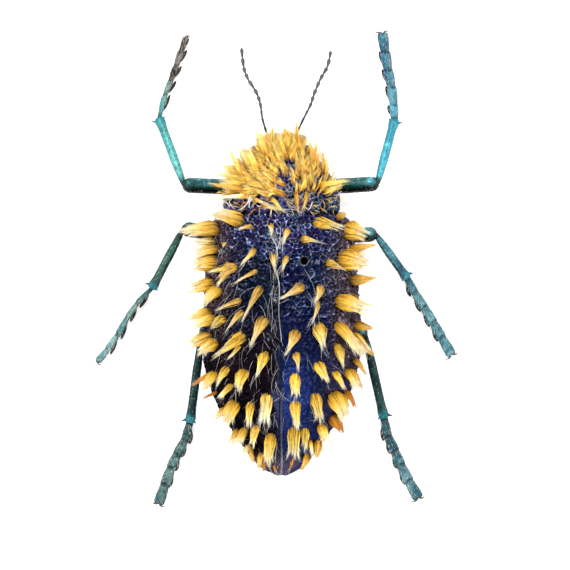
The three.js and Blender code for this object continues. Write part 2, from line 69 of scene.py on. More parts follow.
def profile(*stops):
    """A smooth curve through (y, value) stops, flat where it turns, as a function of y."""
    y, v = np.array(sorted(stops), float).T
    rise = np.diff(v) / np.diff(y)
    slope = np.empty_like(v)
    slope[0], slope[-1] = rise[0], rise[-1]
    slope[1:-1] = np.where(rise[1:] * rise[:-1] <= 0, 0, (v[2:] - v[:-2]) / (y[2:] - y[:-2]))

    def curve(at):
        at = np.clip(at, y[0], y[-1])
        i = np.clip(np.searchsorted(y, at) - 1, 0, len(y) - 2)
        step = y[i + 1] - y[i]
        t = (at - y[i]) / step
        start = v[i] * (1 + 2 * t) + slope[i] * step * t
        end = v[i + 1] * (3 - 2 * t) - slope[i + 1] * step * (1 - t)
        return start * (1 - t) ** 2 + end * t**2

    return curve


class Dome:
    """The domed back of the wing cases or of the pronotum: half width, top and side height along y."""

    def __init__(self, half_width, top, side):
        self.half_width = profile(*half_width)
        self.top = profile(*top)
        self.side = profile(*side)

    def height(self, x, y):
        share = np.clip(np.abs(x) / self.half_width(y), 0, 1)
        rise = self.top(y) - self.side(y)
        return self.side(y) + rise * (1 - share**DOME_POWER) ** (1 / DOME_POWER)

    def settle(self, points, share, lift=0):
        """Moves points to within a share of the half width, and to a height over the back."""
        room = share * self.half_width(points[:, 1])
        points[:, 0] = np.clip(points[:, 0], -room, room)
        points[:, 2] = self.height(points[:, 0], points[:, 1]) + lift

    def normal(self, x, y, step=0.05):
        slope_x = (self.height(x + step, y) - self.height(x - step, y)) / (2 * step)
        slope_y = (self.height(x, y + step) - self.height(x, y - step)) / (2 * step)
        return unit(np.stack([-slope_x, -slope_y, np.ones_like(slope_x)], -1))

    def arc(self, y, count, inset=0.0):
        """x, z and distance from the midline, at even steps over the right half of the section at y."""
        angle = np.linspace(0, np.pi / 2, ARC_SAMPLES)
        x = (self.half_width(y) - inset) * np.sin(angle) ** (2 / DOME_POWER)
        z = self.side(y) + (self.top(y) - inset - self.side(y)) * np.cos(angle).clip(0) ** (2 / DOME_POWER)
        run = np.concatenate([[0], np.cumsum(np.hypot(np.diff(x), np.diff(z)))])
        even = np.linspace(0, run[-1], count)
        return np.interp(even, run, x), np.interp(even, run, z), even


ELYTRA = Dome(
    half_width=(
        (10.5, 6), (10.1, 6.5), (9.6, 6.85), (9, 7.1), (5, 7.45), (0.5, 7.75), (-1.5, 7.82), (-4, 7.7),
        (-6.5, 7.05), (-8.5, 6.3), (-10.5, 5.2), (-12.3, 4), (-13.7, 2.95), (-14.4, 2.3), (-14.9, 1.65),
        (-15.4, 0.7),
    ),
    top=((10.5, 10.1), (7, 11.4), (2, 12), (-3, 11.6), (-8, 9.7), (-12, 7.1), (-14.5, 4.9), (-15.4, 3.9)),
    side=((10.5, 4.9), (2, 4.8), (-6, 4.4), (-12, 3.6), (-15.4, 3)),
)
PRONOTUM = Dome(
    half_width=((17.7, 2.5), (17.3, 2.9), (16, 3.75), (14.6, 4.75), (13.3, 5.45), (12, 5.8), (10.7, 5.75)),
    top=((17.7, 7.3), (16, 8.5), (14, 9.4), (12, 9.9), (10.7, 9.9)),
    side=((17.7, 4.8), (14, 4.8), (10.7, 4.7)),
)
pronotum_bottom = profile((17.7, 2.3), (16, 1.3), (13, 0.4), (10.7, 0.7))
belly = profile((10.5, 0.3), (8.5, 0), (-7, 0), (-10, 0.5), (-13, 1.7), (-14.6, 2.6))

# Locks of hair: root x, root y, tip x, tip y and width, then the shade of the hair

GOLD, TAN, AMBER, RUST = "gold", "tan", "amber", "rust"
CREAM, FUR, EMBER, HONEY = "cream", "fur", "ember", "honey"
LEFT_LOCKS = (
    (-4.25, 9.9, -6.85, 10.7, 1.4, GOLD), (-7.3, 9.1, -9.6, 8.8, 1.5, GOLD),
    (-7.3, 7.8, -8.7, 7.7, 0.8, CREAM), (-6.65, 7.1, -9, 6.5, 0.9, GOLD), (-6.95, 5.7, -9, 5.4, 1.6, GOLD),
    (-4.75, 5.3, -6.55, 4.1, 1.1, TAN), (-5.4, 5.1, -7.15, 4.8, 0.6, GOLD),
    (-5.3, 4.7, -6.45, 3.2, 0.6, TAN), (-2.65, 6.9, -3.95, 5.5, 0.6, TAN),
    (-2.45, 4.9, -4.45, 3.8, 0.4, TAN), (-1.05, 9.4, -0.95, 8.5, 0.6, TAN),
    (-0.85, 6.5, -0.65, 4.9, 0.6, TAN), (-2.95, 9.3, -4.35, 9, 0.4, TAN),
    (-5.55, 7.6, -5.75, 7.3, 0.35, TAN), (-7.4, 3.6, -8.95, 3, 1.3, GOLD),
    (-6.35, 2.9, -7.85, 1.7, 1.1, GOLD), (-2.15, 3.1, -3.75, 0.2, 0.9, TAN),
    (-4.15, 2, -6.25, 1.1, 0.6, TAN), (-3.95, 0.8, -5.35, -1, 0.7, TAN), (-1.8, 0, -3.05, -2.5, 1.3, TAN),
    (-7.45, 0.7, -9.1, 0.2, 1, GOLD), (-5.85, 0.1, -6.95, -0.8, 1, GOLD),
    (-7.05, 0.1, -8.6, -0.5, 1.1, GOLD), (-3.95, -1.6, -6.95, -3.7, 1.3, GOLD),
    (-4.15, -2.6, -5.15, -3.7, 0.4, GOLD), (-7.4, -1.8, -9.1, -2.5, 1.3, GOLD),
    (-6.8, -2.3, -8.2, -3.3, 1.2, GOLD), (-1.65, -3.4, -2.55, -5.8, 1.1, GOLD),
    (-3.75, -5.2, -4.55, -7.2, 1.3, GOLD), (-5.45, -4.8, -6.45, -6.5, 0.8, GOLD),
    (-6.75, -5.4, -7.55, -6.9, 0.9, GOLD), (-7.35, -5.4, -8.85, -6.4, 0.4, RUST),
    (-6.55, -7.2, -7.85, -7.8, 0.3, RUST), (-5.05, -6.5, -6.25, -7.8, 0.6, GOLD),
    (-4.75, -8.5, -5.45, -10.1, 1.3, GOLD), (-5.65, -8.9, -6.75, -9.9, 0.6, GOLD),
    (-3.05, -8.4, -3.35, -10.7, 0.85, GOLD), (-1.45, -7.7, -1.75, -10.5, 1.3, CREAM),
    (-3.7, -11, -4.25, -12.1, 0.8, GOLD), (-4.45, -11, -5.05, -12.3, 0.5, GOLD),
    (-2.55, -10.7, -2.95, -12.8, 0.8, GOLD), (-1.05, -11.7, -1.45, -14.45, 1.2, GOLD),
    (-3.25, -12.6, -3.85, -13.3, 0.5, CREAM), (-3.05, -12.9, -2.75, -14.1, 0.4, AMBER),
    (-2.05, -13.4, -2.25, -14.9, 0.5, AMBER), (-1.7, -14.2, -1.8, -15.1, 0.3, RUST),
    (-0.75, -14.5, -0.55, -15.2, 0.1, RUST),
)
RIGHT_LOCKS = (
    (3.55, 9.7, 5.95, 9, 1.2, GOLD), (5.65, 10.2, 6.35, 10.6, 0.6, AMBER), (6.9, 8.9, 8.3, 8.4, 1.8, GOLD),
    (0.6, 8.9, 0.15, 7.5, 0.7, TAN), (2.15, 8, 3.55, 7.8, 0.8, TAN), (4.65, 5.7, 6.35, 5, 0.8, TAN),
    (6.35, 6, 8.5, 5.6, 2, GOLD), (7.35, 7.1, 9.15, 7.5, 0.8, AMBER), (7.55, 4, 9.25, 4.1, 1, AMBER),
    (0.5, 6.2, 0.1, 4.9, 0.6, TAN), (1.95, 3.3, 0, 2.2, 1.1, TAN), (3.85, 3.2, 3.25, 1.7, 0.9, TAN),
    (3.65, 1.8, 3.05, -0.2, 0.4, TAN), (3.65, -0.6, 4.15, -2.8, 1.3, GOLD),
    (1.4, -1.3, 0.45, -3.2, 1.2, TAN), (1.45, -3.4, 1.65, -4.8, 0.8, TAN),
    (5.55, -2.6, 6.15, -4.7, 0.9, GOLD), (3.65, -4.5, 4.55, -6.1, 1.2, GOLD),
    (5.95, 1.9, 8.7, 1.1, 1.5, GOLD), (5.65, -0.5, 7.85, -3.1, 1, GOLD), (7.05, -1.8, 8.25, -3, 1.3, GOLD),
    (7.55, -0.5, 9.15, -0.9, 0.8, AMBER), (7.65, -2.4, 9.15, -3.4, 0.6, AMBER),
    (5.35, -5.3, 6.25, -6.8, 0.8, GOLD), (6.75, -5.2, 7.35, -6.4, 1, GOLD),
    (7.6, -4, 8.35, -5.3, 0.5, AMBER), (7.3, -5.3, 8.05, -6.8, 0.5, AMBER),
    (1.35, -5.6, 1.35, -7.8, 1.1, GOLD), (3.35, -7.6, 3.85, -10.1, 1.2, GOLD),
    (5.35, -7.8, 6.15, -9.5, 1.7, GOLD), (6.6, -7.2, 7.35, -8.8, 0.6, RUST),
    (1.35, -8.3, 1.55, -10.7, 1.1, GOLD), (5.2, -9.9, 6.05, -11.2, 1.1, RUST),
    (3.95, -10.6, 4.45, -12.1, 0.8, GOLD), (1.25, -11, 1.15, -13.8, 1.35, GOLD),
    (2.35, -11, 2.25, -12.9, 0.9, GOLD), (3.65, -12.2, 3.45, -13.7, 0.7, AMBER),
    (2.55, -13.5, 1.95, -15, 0.5, AMBER), (1.15, -13.8, 0.75, -15.1, 0.12, RUST),
    (2.85, -12, 3.05, -13.8, 0.3, GOLD),
)
NECK_LOCKS = (
    (-1.35, 16.2, -2.45, 18.9, 0.68, FUR), (-0.65, 17.2, -0.95, 19.6, 0.68, FUR),
    (0.35, 17.5, 0.35, 19.2, 0.21, EMBER), (0.05, 15.5, -1.25, 18.5, 0.77, FUR),
    (0.35, 16, -0.35, 18.7, 0.59, FUR), (-3.85, 14.2, -5.05, 16.7, 0.51, FUR),
    (-3.85, 15, -4.45, 16.5, 0.42, EMBER), (-2.35, 15, -3.15, 16.8, 0.77, FUR),
    (-4.15, 14.5, -5.85, 15.4, 0.85, FUR), (-3.95, 14, -6.05, 14.5, 0.85, FUR),
    (-3.85, 13.6, -5.95, 13.7, 0.77, FUR), (0.35, 13.4, -1.85, 14.4, 0.51, EMBER),
    (0.35, 12.4, -1.85, 13.5, 0.59, EMBER), (-3.65, 12.9, -7.05, 13.6, 0.34, EMBER),
    (-2.95, 12.6, -5.35, 13, 0.59, FUR), (-3.45, 12.3, -5.95, 12.2, 0.4, CREAM),
    (-0.95, 12.1, 0.05, 10.9, 0.51, FUR), (-1.95, 11.4, 0.35, 10.9, 0.21, FUR),
    (1.55, 17, 1.45, 19.7, 0.59, EMBER), (1.75, 14.3, 1.25, 17.5, 0.59, FUR),
    (2.65, 14.5, 2.05, 17.7, 0.59, FUR), (3.55, 15.2, 2.65, 17.7, 0.51, EMBER),
    (4.25, 14.5, 3.95, 16.9, 0.51, EMBER), (4.45, 14, 4.45, 16, 0.42, FUR), (3.05, 14, 2.95, 17, 0.59, FUR),
    (3.65, 13.4, 6.65, 13.8, 0.42, FUR), (4.25, 12.7, 5.55, 13.3, 0.51, FUR),
    (1.45, 12.9, 1.65, 10.9, 0.26, EMBER), (2.65, 12.7, 2.15, 11, 0.26, EMBER),
    (-2.9, 15.2, -3.8, 16.5, 0.77, FUR), (-2.3, 14.5, -3.6, 15.5, 0.77, FUR),
    (-1.1, 12.3, -3.1, 13, 0.59, FUR), (-2.3, 12.8, -4.1, 13.4, 0.59, FUR),
    (-0.7, 14.7, -2.2, 16.6, 0.77, FUR), (0.5, 14.5, -0.6, 16.7, 0.77, FUR),
    (-1.5, 13.9, -3, 14.9, 0.77, FUR), (-3.1, 13.5, -4.9, 13.9, 0.68, FUR),
    (-2.9, 12.1, -0.9, 11.3, 0.3, TAN), (-2.1, 11.8, -0.6, 10.9, 0.26, TAN),
    (-5, 12.5, -6.3, 12.1, 0.4, GOLD),
)

# Legs: coxa, knee and ankle, the end of each foot joint from above, and how far the sole is turned in

FOOT_HEIGHTS = (0.85, 0.8, 0.76, 0.74, 0.74)
COXA = (1, 1.05, 0.78)
LEGS = {
    "front_left": {
        "side": -1, "tuck": 70,
        "coxa": (-1.7, 13.2, 1.15), "knee": (-9.75, 13.5, 3.4), "ankle": (-12.3, 20.25, 1.1),
        "foot": ((-11.8, 22.35), (-11.2, 23.85), (-10.65, 25.35), (-10.1, 26.95), (-9.55, 28.4)),
    },
    "front_right": {
        "side": 1, "tuck": 45,
        "coxa": (1.7, 13.2, 1.15), "knee": (9.6, 13.65, 3.4), "ankle": (11.35, 20.1, 1.1),
        "foot": ((11.3, 21.4), (11.1, 23.2), (10.75, 24.9), (10.45, 26.7), (10.15, 28.8)),
    },
    "middle_left": {
        "side": -1, "tuck": 65,
        "coxa": (-1.9, 8.2, 0.8), "knee": (-9.85, 9.1, 3.4), "ankle": (-13, 3.2, 1.1),
        "foot": ((-14.4, 1.8), (-15.4, 0.4), (-16.35, -1.3), (-17.4, -2.85), (-18.45, -4.15)),
    },
    "middle_right": {
        "side": 1, "tuck": 40,
        "coxa": (1.9, 8.2, 0.8), "knee": (9.4, 8.6, 3.4), "ankle": (12.6, 4.2, 1.1),
        "foot": ((13.3, 2.9), (14.25, 1.4), (15.15, -0.1), (16, -1.6), (17.1, -3.5)),
    },
    "hind_left": {
        "side": -1, "tuck": 35,
        "coxa": (-1.9, 1.6, 0.8), "knee": (-8, -1.5, 3), "ankle": (-9.2, -10.3, 1.1),
        "foot": ((-9.65, -11.95), (-10.4, -13.35), (-11.05, -14.75), (-11.65, -16.35), (-12.35, -18.45)),
    },
    "hind_right": {
        "side": 1, "tuck": 35,
        "coxa": (1.9, 1.6, 0.8), "knee": (8.4, -1.55, 3), "ankle": (10.3, -9.85, 1.1),
        "foot": ((10.65, -11.6), (11.3, -13), (11.9, -14.45), (12.7, -16.05), (13.75, -17.9)),
    },
}
ANTENNAE = {
    "left": (
        (-1.4, 18.4, 5), (-1.9, 20.1, 4.9), (-2.1, 21.5, 4.7), (-2.5, 22.7, 4.5), (-3.4, 24.2, 4.2),
        (-3.8, 25.4, 4), (-4, 27.3, 3.7),
    ),
    "right": (
        (1.4, 18.4, 5), (2.2, 20.1, 4.9), (2.9, 21.5, 4.7), (3.3, 22.7, 4.5), (3.9, 24.1, 4.2),
        (4.6, 25.4, 4), (4.95, 27, 3.7),
    ),
}
ANTENNA_JOINTS = 11


# Vectors and noise

DOWN = np.array([0.0, 0.0, -1.0])
LEVEL = (1, 1, 0)
SIDES = (("left", -1), ("right", 1))
FAR = 9.0


def unit(v):
    return v / np.maximum(np.linalg.norm(v, axis=-1, keepdims=True), 1e-9)


def smooth(low, high, value):
    """0 below low, 1 above high, and a soft step between."""
    t = np.clip((value - low) / (high - low), 0, 1)
    return t * t * (3 - 2 * t)


def bulge(distance, width):
    """A rounded rise: 1 where the distance is 0, and next to nothing past two widths."""
    return np.exp(-((distance / width) ** 2))


NOISE_SIZE = 64
NOISE_TABLE = np.random.default_rng(5).random((NOISE_SIZE, NOISE_SIZE, 3))


def cells(u, v):
    """Cell centres, one in each unit square: distances to the nearest two, and the nearest one's mark."""
    nearest = np.full(u.shape, FAR)
    second = np.full(u.shape, FAR)
    mark = np.zeros(u.shape)
    for du in (-1, 0, 1):
        for dv in (-1, 0, 1):
            i, j = np.floor(u).astype(int) + du, np.floor(v).astype(int) + dv
            jitter = NOISE_TABLE[i % NOISE_SIZE, j % NOISE_SIZE]
            away = np.hypot(i + jitter[..., 0] - u, j + jitter[..., 1] - v)
            mark = np.where(away < nearest, jitter[..., 2], mark)
            second = np.minimum(second, np.maximum(nearest, away))
            nearest = np.minimum(nearest, away)
    return nearest, second, mark


def hollows(u, v, size, rim_width=1):
    """Pits in cells: how deep a point lies in one, how near it is to a rim, and the mark of its pit."""
    near, second, mark = cells(u, v)
    return np.clip(1 - (near / size) ** 2, 0, 1), np.clip(1 - (second - near) / rim_width, 0, 1), mark


def drift(u, v):
    """Soft noise between 0 and 1 with lumps about one unit across."""
    i, j = np.floor(u).astype(int), np.floor(v).astype(int)
    s, t = smooth(0, 1, u - i), smooth(0, 1, v - j)

    def corner(di, dj):
        return NOISE_TABLE[(i + di) % NOISE_SIZE, (j + dj) % NOISE_SIZE, 2]

    near = corner(0, 0) * (1 - s) + corner(1, 0) * s
    far = corner(0, 1) * (1 - s) + corner(1, 1) * s
    return near * (1 - t) + far * t


# Colours, in linear light


def linear(red, green, blue):
    """A colour given as the eye sees it, 0 to 255, in linear light."""
    return (np.array([red, green, blue]) / 255.0) ** 2.2


def palette(*tones):
    return [linear(*tone) for tone in tones]


INK = linear(12, 6, 10)
NIGHT = linear(5, 8, 24)
PLUM = linear(142, 116, 124)
STEEL = linear(72, 86, 124)
SHADED_RIM = linear(76, 60, 66)
VIOLET = linear(106, 94, 184)
PERIWINKLE = linear(126, 146, 214)
LILAC = linear(206, 204, 224)
ROYAL = linear(20, 29, 64)
LEFT_BAND = linear(20, 19, 34)
DUST = linear(86, 76, 80)
UMBER = linear(41, 30, 33)
MOLE = linear(47, 42, 48)
NAVY = linear(5, 9, 40)
SLATE_BLUE = linear(37, 37, 58)
GLEAM = linear(160, 142, 150)
DUSK = linear(21, 20, 40)
TEAL_GLINT = linear(72, 112, 146)
DARK_TEAL = linear(8, 48, 56)
PAD = linear(40, 28, 30)
CLAW = linear(92, 80, 52)
BROWN = linear(30, 18, 13)
JAW_TINT = linear(30, 22, 20)


def blend(first, second, share):
    return first + (second - first) * np.asarray(share)[..., None]


# Meshes


def ring_quads(at):
    """The faces between rings of points, from the points' numbers."""
    turned = np.roll(at, -1, axis=-1)
    return np.stack([at[..., :-1, :], turned[..., :-1, :], turned[..., 1:, :], at[..., 1:, :]], -1)


def turns(count):
    """Evenly spread angles, once round."""
    return np.linspace(0, 2 * np.pi, count, endpoint=False)


def cut_at(y, x, z):
    """Points of one cut across the body."""
    return np.column_stack([x, np.full(len(x), y), z])


def closed_cut(y, right):
    """A ring round the body, from x and z of its right half."""
    ring = np.concatenate([right, right[-2:0:-1] * (-1, 1)])
    return cut_at(y, ring[:, 0], ring[:, 1])


def distance_round(rings):
    """How far each point lies from the first one of its ring, along the ring."""
    step = np.linalg.norm(np.roll(rings, -1, 1) - rings, axis=-1)
    return np.cumsum(step, 1) - step


class Shape:
    """Points, faces and point colours that pile up into one mesh."""

    def __init__(self):
        self.points, self.tints, self.quads, self.triangles = [], [], [], []
        self.count = 0

    def add(self, points, tint, quads, triangles):
        """Adds a closed form, with its faces turned outwards."""
        points = np.asarray(points, float).reshape(-1, 3)
        quads, triangles = quads.reshape(-1, 4), triangles.reshape(-1, 3)
        halves = np.concatenate([quads[:, (0, 1, 2)], quads[:, (0, 2, 3)], triangles])
        a, b, c = (points[halves] - points.mean(0)).swapaxes(0, 1)
        if (a * np.cross(b, c)).sum() < 0:
            quads, triangles = quads[:, ::-1], triangles[:, ::-1]
        self.tints.append(np.broadcast_to(np.asarray(tint, float).reshape(-1, 3), points.shape))
        self.points.append(points)
        self.quads.append(quads + self.count)
        self.triangles.append(triangles + self.count)
        self.count += len(points)

    def shell(self, rings, tint, outer):
        """A closed shell through rings: their first columns are its outside, and the others its lining."""
        rows, columns = rings.shape[:2]
        at = np.arange(rows * columns).reshape(rows, columns)
        partner = columns - 1 - np.arange(outer) * (columns - outer) // outer
        step = np.flatnonzero(np.diff(partner))
        ends = []
        for row, way in ((at[0], -1), (at[-1], 1)):
            fans = np.stack([row[: outer - 1], row[1:outer], row[partner[:-1]]], -1)
            joins = np.stack([row[step + 1], row[partner[step + 1]], row[partner[step]]], -1)
            ends.append(np.concatenate([fans, joins])[:, ::way])
        self.add(rings, tint, ring_quads(at), np.concatenate(ends))

    def tube(self, rings, tint):
        """A closed solid through rings of points, capped by a fan to the middle of each end ring."""
        rows, columns = rings.shape[:2]
        at = np.arange(rows * columns).reshape(rows, columns)
        start = np.stack([np.full(columns, at.size), np.roll(at[0], -1), at[0]], -1)
        end = np.stack([np.full(columns, at.size + 1), at[-1], np.roll(at[-1], -1)], -1)
        points = np.concatenate([rings.reshape(-1, 3), [rings[0].mean(0), rings[-1].mean(0)]])
        tint = np.broadcast_to(np.asarray(tint, float), rings.shape)
        tints = np.concatenate([tint.reshape(-1, 3), [tint[0].mean(0), tint[-1].mean(0)]])
        self.add(points, tints, ring_quads(at), np.concatenate([start, end]))

    def build(self, name, material, slot, *nodes):
        """The mesh as a piece of the object, in place of the CAD nodes that it stands for."""
        points = np.maximum(np.concatenate(self.points), (-np.inf, -np.inf, 0.01)) * MM
        quads = np.concatenate(self.quads)
        triangles = np.concatenate(self.triangles)
        loops = np.concatenate([quads.ravel(), triangles.ravel()])
        sizes = np.concatenate([np.full(len(quads), 4), np.full(len(triangles), 3)])
        mesh = bpy.data.meshes.new(name)
        mesh.vertices.add(len(points))
        mesh.vertices.foreach_set("co", points.ravel())
        mesh.loops.add(len(loops))
        mesh.loops.foreach_set("vertex_index", loops)
        mesh.polygons.add(len(sizes))
        mesh.polygons.foreach_set("loop_start", np.concatenate([[0], np.cumsum(sizes)[:-1]]))
        mesh.polygons.foreach_set("use_smooth", np.ones(len(sizes), bool))
        mesh.update(calc_edges=True)
        tint = mesh.color_attributes.new("tint", "FLOAT_COLOR", "POINT")
        tints = np.concatenate(self.tints)
        tint.data.foreach_set("color", np.column_stack([tints, np.ones(len(tints))]).ravel())
        mesh.materials.append(material)
        piece = bpy.data.objects.new(name, mesh)
        bpy.context.collection.objects.link(piece)
        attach(piece, "root")
        if nodes:
            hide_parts(*nodes)


def solid(rings, tint):
    shape = Shape()
    shape.tube(rings, tint)
    return shape


def outward_normals(rings):
    """Unit normals at rings of points, pointing away from the middle of each ring."""
    around = np.roll(rings, -1, axis=1) - np.roll(rings, 1, axis=1)
    normals = unit(np.cross(around, np.gradient(rings, axis=0)))
    return normals * np.sign((normals * (rings - rings.mean(1, keepdims=True))).sum())


def rings_along(path, half_width, half_depth, sole, sides):
    """Elliptical rings square to a path; their depth runs along sole."""
    axis = unit(np.gradient(path, axis=0))
    across = unit(np.cross(axis, np.broadcast_to(sole, axis.shape)))
    deep = np.cross(across, axis)
    turn = turns(sides)
    wide = across[:, None] * (np.cos(turn)[None, :, None] * np.reshape(half_width, (-1, 1, 1)))
    thick = deep[:, None] * (np.sin(turn)[None, :, None] * np.reshape(half_depth, (-1, 1, 1)))
    return path[:, None] + wide + thick


def curve_through(points, count):
    """Evenly spread points on a smooth curve through the given ones."""
    points = np.asarray(points, float)
    padded = np.concatenate([[2 * points[0] - points[1]], points, [2 * points[-1] - points[-2]]])
    at = np.linspace(0, len(points) - 1, count)
    i = np.clip(at.astype(int), 0, len(points) - 2)
    t = (at - i)[:, None]
    a, b, c, d = (padded[i + k] for k in range(4))
    return 0.5 * (2 * b + (c - a) * t + (2 * a - 5 * b + 4 * c - d) * t**2 + (3 * b - a - 3 * c + d) * t**3)


def ellipsoid(centre, radii, rows, columns):
    """Rings of an ellipsoid with its poles on Y, as a grid that the tube caps."""
    polar = np.linspace(0.02, np.pi - 0.02, rows)[:, None]
    turn = turns(columns)
    ball = (np.sin(polar) * np.cos(turn), np.cos(polar) + 0 * turn, np.sin(polar) * np.sin(turn))
    return np.stack(ball, -1) * np.array(radii) + np.array(centre)


# Materials


class Nodes:
    """A material's node tree, with short ways to add and join nodes."""

    def __init__(self, name):
        self.material = bpy.data.materials.new(name)
        self.material.use_nodes = True
        self.tree = self.material.node_tree
        self.shader = self.tree.nodes["Principled BSDF"]
        self.place = self.add("ShaderNodeTexCoord").outputs["Object"]

    def add(self, kind, inputs=(), **settings):
        node = self.tree.nodes.new(kind)
        for key, value in settings.items():
            setattr(node, key, value)
        for key, value in dict(inputs).items():
            node.inputs[key].default_value = value
        return node

    def link(self, start, end):
        self.tree.links.new(start, end)

    def set(self, **values):
        for key, value in values.items():
            self.shader.inputs[key.replace("_", " ")].default_value = value

    def noise(self, scale, detail=3.0, roughness=0.55):
        node = self.add("ShaderNodeTexNoise", {"Scale": scale, "Detail": detail, "Roughness": roughness})
        self.link(self.place, node.inputs["Vector"])
        return node.outputs["Fac"]

    def mottle(self, scale, low, high):
        """Noise, stretched so that it runs from low to high."""
        noise = self.noise(scale)
        ends = {"From Min": 0.3, "From Max": 0.7, "To Min": low, "To Max": high}
        node = self.add("ShaderNodeMapRange", ends)
        self.link(noise, node.inputs["Value"])
        return node.outputs["Result"]

    def tint(self, scale, dark, light):
        """The point colours, mottled by a noise that darkens and lightens them."""
        colour = self.add("ShaderNodeVertexColor", layer_name="tint").outputs["Color"]
        amount = self.mottle(scale, dark, light)
        node = self.add("ShaderNodeVectorMath", operation="SCALE")
        self.link(colour, node.inputs[0])
        self.link(amount, node.inputs["Scale"])
        self.link(node.outputs["Vector"], self.shader.inputs["Base Color"])

    def roughness(self, scale, low, high):
        self.link(self.mottle(scale, low, high), self.shader.inputs["Roughness"])

    def bump(self, height, strength, distance):
        node = self.add("ShaderNodeBump", {"Strength": strength, "Distance": distance})
        self.link(height, node.inputs["Height"])
        self.link(node.outputs["Normal"], self.shader.inputs["Normal"])


def cuticle(name, metallic, gloss, grain, bump, coat):
    """Metallic beetle skin: mottled tint, uneven gloss and a fine grain."""
    nodes = Nodes(name)
    nodes.tint(900, 0.7, 1.25)
    nodes.roughness(1600, gloss, gloss + 0.18)
    nodes.bump(nodes.noise(grain, detail=4), bump, 0.00004)
    nodes.set(Metallic=metallic, Coat_Weight=coat, Coat_Roughness=0.15, Specular_IOR_Level=0.3)
    nodes.set(Specular_Tint=(0.35, 0.35, 0.4, 1))
    return nodes.material


def hair(name, roughness):
    """Dry hair: the tint of each strand with a soft sheen."""
    nodes = Nodes(name)
    nodes.tint(2500, 0.85, 1.12)
    nodes.roughness(3000, roughness, roughness + 0.15)
    nodes.set(Sheen_Weight=0.1, Sheen_Roughness=0.4, Specular_IOR_Level=0.3)
    return nodes.material


wing_skin = cuticle("wing_case_cuticle", 0.97, 0.2, 9000, 0.35, 0)
shield_skin = cuticle("shield_cuticle", 0.97, 0.22, 9000, 0.35, 0)
belly_skin = cuticle("underside_cuticle", 0.7, 0.3, 7000, 0.4, 0.2)
leg_skin = cuticle("leg_cuticle", 0.4, 0.36, 8000, 0.5, 0.15)
foot_skin = cuticle("foot_cuticle", 0.3, 0.42, 9000, 0.5, 0.1)
horn_skin = cuticle("antenna_cuticle", 0.1, 0.45, 9000, 0.4, 0.05)
eye_skin = cuticle("eye_lens", 0.1, 0.12, 16000, 0.3, 0.5)
lock_hair = hair("lock_hair", 0.45)
white_hair = hair("white_hair", 0.4)


# Wing cases

WING_ROWS = 330
WING_COLUMNS = 140
LINING_COLUMNS = 6
PIT_SPACING = 0.46
FINE_SPACING = 0.24
PIN_DEPTH = 0.62
BURR_TINT = linear(110, 104, 96)
MARGIN_ROLL = ((0.06, -0.1), (0.2, -0.14), (0.5, -0.1), (0.75, 0.7))


def wing_pits(across, along, side):
    """The pits of a wing case, unevenly spread."""
    u = across / PIT_SPACING + 1.3 * drift(across * 1.3 + 7, along * 1.3 + side) + 20 * side
    v = along / PIT_SPACING + 1.3 * drift(across * 1.3 + 31, along * 1.3 + 3 * side) + 40
    return hollows(u, v, 0.55, 0.36)


def wing_relief(across, along, side, pit, rim):
    """Height of the pits and their rims, fainter towards the rear and on the smooth band by the suture."""
    fine, _, _ = hollows(across / FINE_SPACING + 11, along / FINE_SPACING + 31 + side, 0.5)
    strip = wing_strip(across, along, side)
    coarse = (1 - 0.85 * strip) * (0.4 + 0.6 * smooth(-9, 3, along))
    grain = fine * (1 - 0.85 * strip)
    return coarse * (0.09 * rim - 0.17 * pit) - 0.03 * grain


def wing_strip(across, along, side):
    """The smooth band beside the suture, wide towards the rear of the right wing case."""
    width = (4.6 if side > 0 else 1) * smooth(2, -7, along) + 0.3
    return 1 - smooth(width * 0.5, width * 1.3, across + 0.9 * drift(along * 1.1, across * 1.1))


